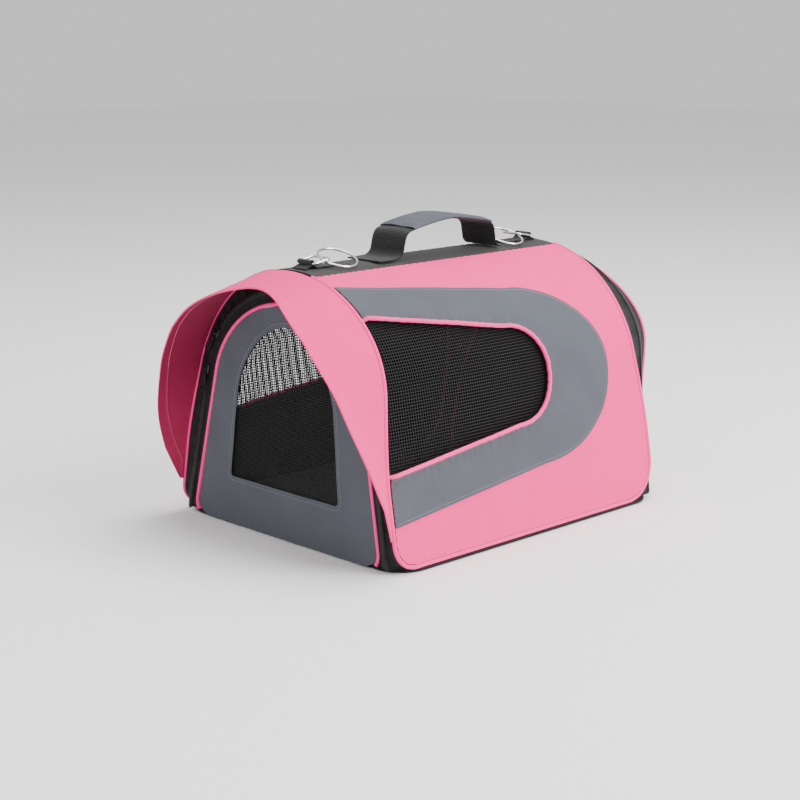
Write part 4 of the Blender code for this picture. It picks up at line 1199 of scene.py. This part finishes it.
def buildRings(prefix, end):
    low = arch["ridge"] + gap + 0.5 * tabLook["thickness"]
    bar = np.array([end * tabLook["x"], arch["ridge"] + ringLook["barHeight"]])
    inward = -end
    radius = tabLook["loop"] - 0.5 * tabLook["thickness"]
    # the tab runs flat, over the bar and back down to the strip
    path = [(bar[0] + inward * tabLook["inner"], low), (bar[0] + inward * 0.0075, low)]
    for angle in np.radians(np.linspace(168.0, -12.0, 16)):
        path.append((bar[0] + inward * radius * math.cos(angle), bar[1] + radius * math.sin(angle)))
    path += [(bar[0] - inward * 0.0058, low + 0.0012), (bar[0] - inward * 0.0075, low),
             (bar[0] - inward * tabLook["outer"], low)]
    path = np.array(path)
    if inward < 0:
        path = path[::-1]
    buildStrap(prefix + "RingTab", path, tabLook["half"], tabLook["thickness"] * 0.9, "shell", "webbing",
               [prefix + "_ring_tab"], columns=8)
    lift = math.radians(ringLook["lift"])
    along = np.array([inward * math.cos(lift), 0.0, math.sin(lift)])
    start = np.array([bar[0], 0.0, bar[1]])
    loop = roundedLoop(0.5 * ringLook["length"], ringLook["half"], ringLook["corner"], 10)
    loop = resample(np.concatenate([loop, loop[:1]]), 0.0012)[:-1]
    line = start + along * (0.5 * ringLook["length"] + loop[:, :1]) + np.array([0.0, 1.0, 0.0]) * loop[:, 1:]
    item = addTube(prefix + "BarRing", line, ringLook["wire"], closed=True, sides=6)
    finishPiece(item, prefix + "_bar_ring", "chrome", [prefix + "_bar_ring"])
    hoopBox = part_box(prefix + "_round_ring")
    centre = 0.5 * (np.array(hoopBox[0]) + np.array(hoopBox[1]))
    tilt = math.asin(min(1.0, (0.5 * (hoopBox[1].z - hoopBox[0].z) - ringLook["wire"]) / ringLook["round"]))
    angles = np.linspace(0.0, twoPi, 97)[:-1]
    sideways = np.array([0.0, math.cos(tilt), math.sin(tilt)])
    hoop = (centre + np.cos(angles)[:, None] * np.array([1.0, 0.0, 0.0]) * ringLook["round"]
            + np.sin(angles)[:, None] * sideways * ringLook["round"])
    item = addTube(prefix + "RoundRing", hoop, ringLook["wire"], closed=True, sides=6)
    finishPiece(item, prefix + "_round_ring", "chrome", [prefix + "_round_ring"])


for prefixName, endSign in (("front", -1), ("rear", 1)):
    buildRings(prefixName, endSign)
print("ridge ready")

# ---------- base, board and pad ----------

baseLook = {"thickness": 0.0030, "front": -0.1980, "rear": 0.2045, "half": 0.171, "corner": 0.034}


def addPlate(name, xs, half, zs, corner, bevel=0.0008):
    bpy.ops.object.select_all(action="DESELECT")
    middle = (0.5 * (xs[0] + xs[1]), 0.0, 0.5 * (zs[0] + zs[1]))
    bpy.ops.mesh.primitive_cube_add(size=1.0, location=middle)
    item = bpy.context.object
    item.name = name
    item.scale = (xs[1] - xs[0], 2.0 * half, zs[1] - zs[0])
    bpy.ops.object.transform_apply(location=True, rotation=True, scale=True)
    upright = []
    for edge in item.data.edges:
        a, b = (item.data.vertices[v].co for v in edge.vertices)
        upright.append(abs(a.z - b.z) > 0.5 * (zs[1] - zs[0]))
    bpy.context.tool_settings.mesh_select_mode = (False, True, False)
    item.data.polygons.foreach_set("select", np.zeros(len(item.data.polygons), bool))
    item.data.vertices.foreach_set("select", np.zeros(len(item.data.vertices), bool))
    item.data.edges.foreach_set("select", np.array(upright))
    editMesh(item, lambda: bpy.ops.mesh.bevel(offset=corner, segments=14, affect="EDGES"))
    applyModifier(item, "softEdges", "BEVEL", width=bevel, segments=3, limit_method="ANGLE",
                  angle_limit=math.radians(50.0))
    setThreads(item, readPoints(item))
    return item


def buildBase():
    item = addPlate("basePanel", (baseLook["front"], baseLook["rear"]), baseLook["half"],
                    (0.0, baseLook["thickness"]), baseLook["corner"])
    finishPiece(item, "shell", "tape", ["base_panel"])
    low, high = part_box("base_board")
    item = addPlate("stiffBoard", (low.x, high.x), high.y, (low.z, high.z), baseLook["corner"], 0.0005)
    finishPiece(item, "shell", "board", ["base_board"])


padLook = {"margin": 0.003, "sink": 0.001, "corner": 0.024, "edge": 0.003, "cell": 0.006, "pressure": 4.0,
           "steps": 20, "swell": 0.003}


def buildPad():
    low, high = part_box("floor_pad")
    margin, sink = padLook["margin"], padLook["sink"]
    item = addPlate("floorPad", (low.x + margin, high.x - margin), high.y - margin,
                    (low.z + sink, high.z - sink), padLook["corner"], padLook["edge"])
    applyModifier(item, "evenCells", "REMESH", mode="VOXEL", voxel_size=padLook["cell"])
    before = readPoints(item)
    cloth = item.modifiers.new("stuffing", "CLOTH")
    cloth.settings.use_pressure = True
    cloth.settings.uniform_pressure_force = padLook["pressure"]
    cloth.settings.effector_weights.gravity = 0.0
    cloth.settings.quality = 4
    cloth.point_cache.frame_start = 1
    cloth.point_cache.frame_end = padLook["steps"]
    for step in range(1, padLook["steps"] + 1):
        bpy.context.scene.frame_set(step)
    selectOnly(item)
    bpy.ops.object.modifier_apply(modifier="stuffing")
    bpy.context.scene.frame_set(1)
    move = readPoints(item) - before
    size = np.maximum(np.linalg.norm(move, axis=1), 1e-9)
    spots = before + move * np.minimum(1.0, padLook["swell"] / size)[:, None]
    writePoints(item, np.clip(spots, low, high))
    applyModifier(item, "rounding", "SUBSURF", levels=1, render_levels=1)
    setThreads(item, readPoints(item))
    finishPiece(item, "shell", "pad", ["floor_pad"])


buildBase()
buildPad()
print("base and pad ready")

# ---------- sliders and pulls: CAD shapes with softened edges ----------

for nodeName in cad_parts:
    if "slider" in nodeName or nodeName.endswith("_pull"):
        item = bpy.data.objects.get(nodeName)
        if item is None:
            continue
        item.data.materials.clear()
        item.data.materials.append(paint["enamel"])
        weld = item.modifiers.new("weld", "WELD")
        weld.merge_threshold = 0.00002
        soft = item.modifiers.new("softEdges", "BEVEL")
        soft.width = 0.0003
        soft.segments = 2
        soft.limit_method = "ANGLE"
print("sliders ready")
